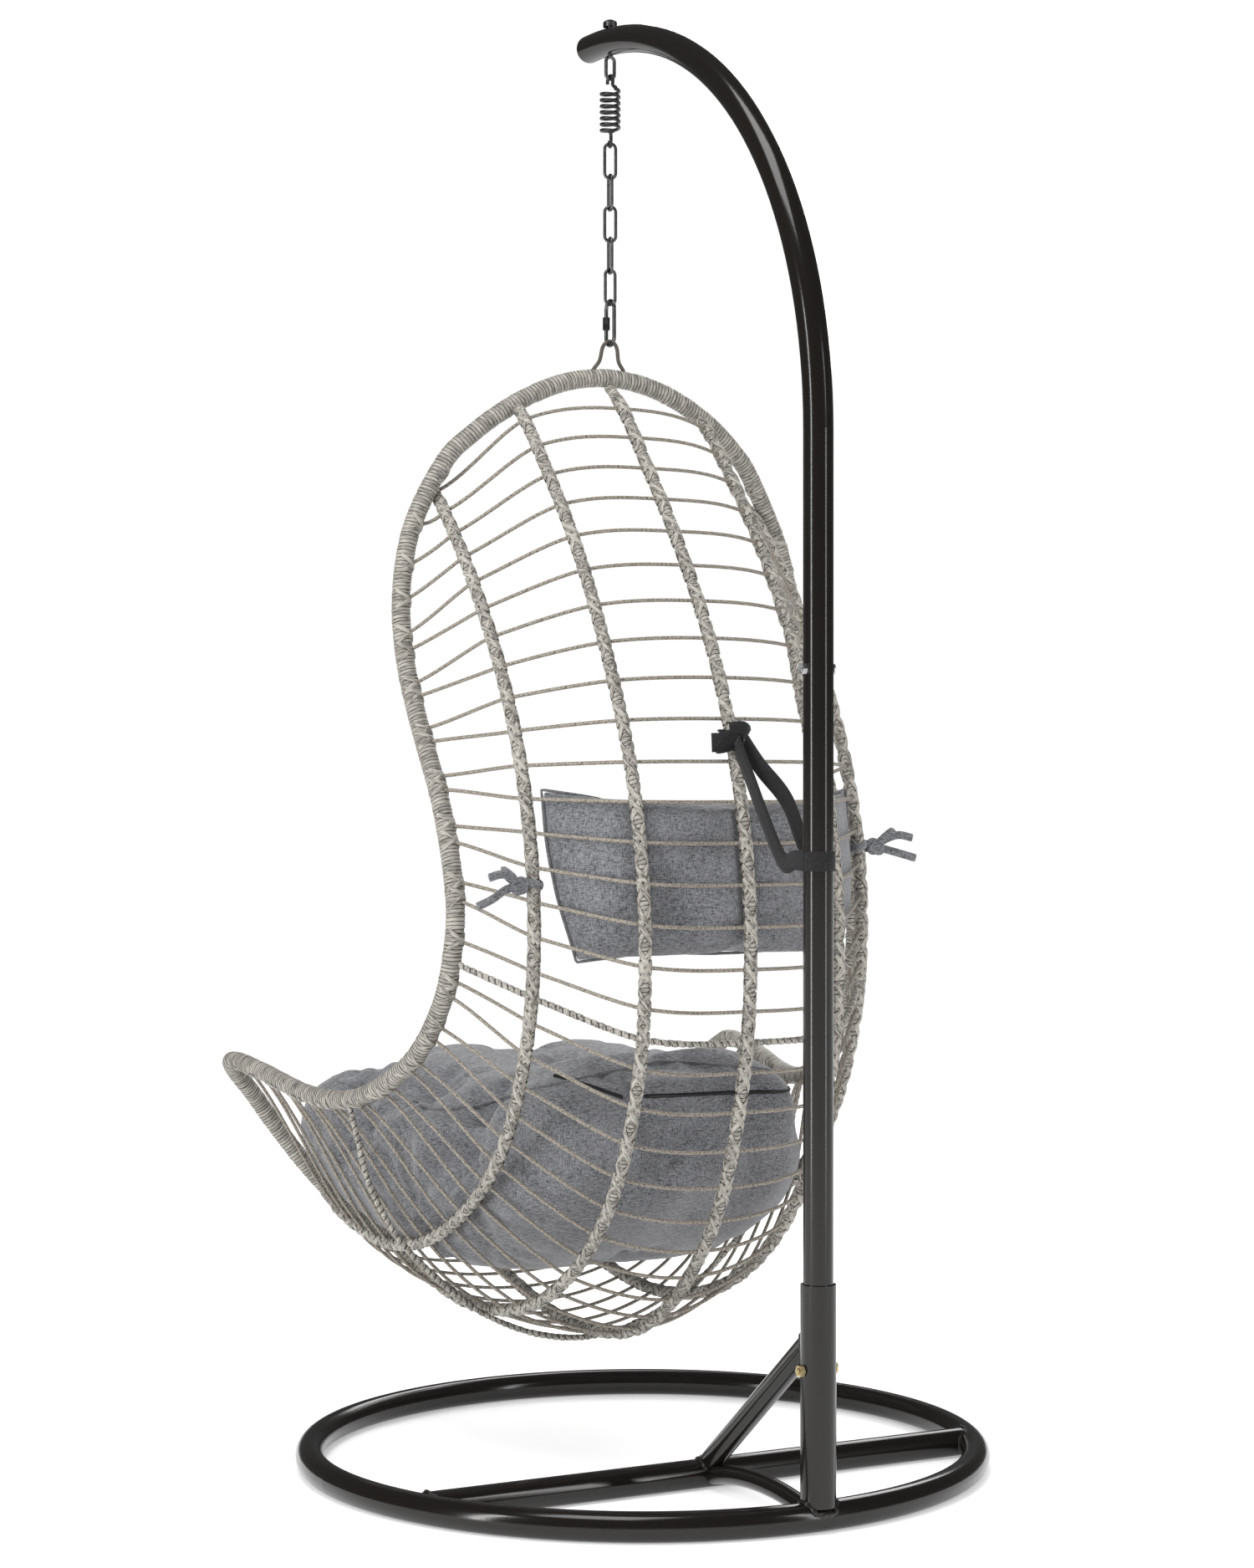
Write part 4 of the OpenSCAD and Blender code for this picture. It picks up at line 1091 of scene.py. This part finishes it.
pole_loop = Batch()
pole_loop.add(*ribbon([(POLE[0] + WRAP_R * math.cos(a), POLE[1] + WRAP_R * math.sin(a), strap_z)
                       for a in np.linspace(-0.15, math.pi + 0.15, 17)], 4))
finish(pole_loop.build("strap_round_pole"), WEB, "webbing", "stand", "strap_pole_loop")

plies = Batch()
rib_end = strap_rib + np.array([0, RIB_R + 0.013, -0.006])
for side, sag in ((1, 0.034), (-1, 0.006)):
    start = np.array([POLE[0] + side * WRAP_R, POLE[1] + 0.002, strap_z])
    lead = start + np.array([0, -0.024, 0.001])
    dip = start + np.array([-side * 0.004, -0.060, 0.006 + 0.012 * (side < 0)]) + np.array([0, 0, -0.2 * sag])
    belly = start * 0.45 + rib_end * 0.55 + np.array([side * 0.006, 0.004, -sag])
    near = start * 0.18 + rib_end * 0.82 + np.array([side * 0.004, 0.004, -0.55 * sag])
    plies.add(*ribbon([start, lead, dip, belly, near, rib_end + np.array([side * 0.0060, 0.0, 0.003])], 10))
strap = plies.build("strap_webbing")
dress(strap, WEB)
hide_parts("strap_web")
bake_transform(strap)

rib_loop = Batch()
for dz, turn, grow in ((0.004, 0.1, 0.0), (-0.007, -0.18, 0.0018)):
    r = RIB_R + 0.0022 + grow
    points = [strap_rib + np.array([r * math.cos(a), r * math.sin(a), dz + turn * r * math.cos(a) * 2])
              for a in np.linspace(-0.5 * math.pi, 1.6 * math.pi, 22)]
    rib_loop.add(*ribbon(points, 3, width=WEB_W * 0.9))
# The webbing turns back through itself, and its end sticks out
TURN_BACKS = [
    ((-0.006, 0.013, 0.006), (0.006, 0.016, 0.002), (0.020, 0.013, -0.003), (0.034, 0.006, -0.004)),
    ((0.010, 0.013, 0.010), (-0.004, 0.019, 0.012), (-0.014, 0.014, 0.006), (-0.012, 0.004, -0.002))]
for turn_back in TURN_BACKS:
    rib_loop.add(*ribbon([strap_rib + np.array(p) for p in turn_back], 6, first=(0, 1, 0.2)))
finish(rib_loop.build("strap_round_rib"), WEB, "webbing", "basket", "strap_rib_loop")

# ---------------------------------------------------------------- stage, light and camera
FLOOR = 30
floor = mesh_object("floor", [(-FLOOR, -FLOOR, 0), (FLOOR, -FLOOR, 0), (FLOOR, FLOOR, 0), (-FLOOR, FLOOR, 0)],
                    [(0, 1, 2, 3)])
floor_mat, _, floor_shader = material("pale_floor", (0.9, 0.9, 0.9), 0.8)
floor_shader.inputs["Specular IOR Level"].default_value = 0.0
floor_shader.inputs["Emission Color"].default_value = (1, 1, 1, 1)
floor_shader.inputs["Emission Strength"].default_value = 0.36
dress(floor, floor_mat)
world = bpy.data.worlds.new("studio")
bpy.context.scene.world = world
world.use_nodes = True
studio = world.node_tree
backdrop = studio.nodes["Background"]
backdrop.inputs[0].default_value = (1, 1, 1, 1)
# The backdrop is white to the camera, a little dimmer as light, and nearly dark in reflections
CAMERA_SHARE, AS_LIGHT, GLOSSY_SHARE = 0.30, 0.72, 0.64
path_kind = node(studio, "ShaderNodeLightPath")
seen = math_node(studio, "MULTIPLY_ADD", path_kind.outputs["Is Camera Ray"], CAMERA_SHARE, AS_LIGHT)
shiny = math_node(studio, "MULTIPLY", path_kind.outputs["Is Glossy Ray"], GLOSSY_SHARE)
studio.links.new(math_node(studio, "SUBTRACT", seen, shiny), backdrop.inputs[1])


def softbox(name, at, target, size, power):
    light = bpy.data.lights.new(name, "AREA")
    light.shape = "RECTANGLE"
    light.size, light.size_y = size
    light.energy = power
    obj = bpy.data.objects.new(name, light)
    obj.location = at
    obj.visible_camera = False
    obj.rotation_euler = (Vector(target) - Vector(at)).to_track_quat("-Z", "Y").to_euler()
    bpy.context.scene.collection.objects.link(obj)


softbox("key", (3.5, 0.7, 1.5), (0, 0.3, 1.1), (0.35, 3.0), 62)
softbox("fill", (-1.7, 3.6, 1.5), (0, 0.3, 1.1), (0.30, 3.0), 32)
softbox("top", (1.2, 0.8, 4.5), (0, 0, 0.8), (2.0, 2.0), 80)
softbox("rim", (-2.5, -2.5, 3.0), (0, 0, 1.0), (2.0, 2.0), 60)

CAMERA_AT = Vector((2.016, 3.684, 0.93))
CAMERA_WAY = Vector((-0.4756, -0.8796, 0))
camera_data = bpy.data.cameras.new("camera")
camera_data.sensor_width = 36
camera_data.lens = 70.1
camera = bpy.data.objects.new("camera", camera_data)
camera.location = CAMERA_AT
camera.rotation_euler = CAMERA_WAY.to_track_quat("-Z", "Y").to_euler()
bpy.context.scene.collection.objects.link(camera)
bpy.context.scene.camera = camera
bpy.context.scene.view_settings.view_transform = "Standard"
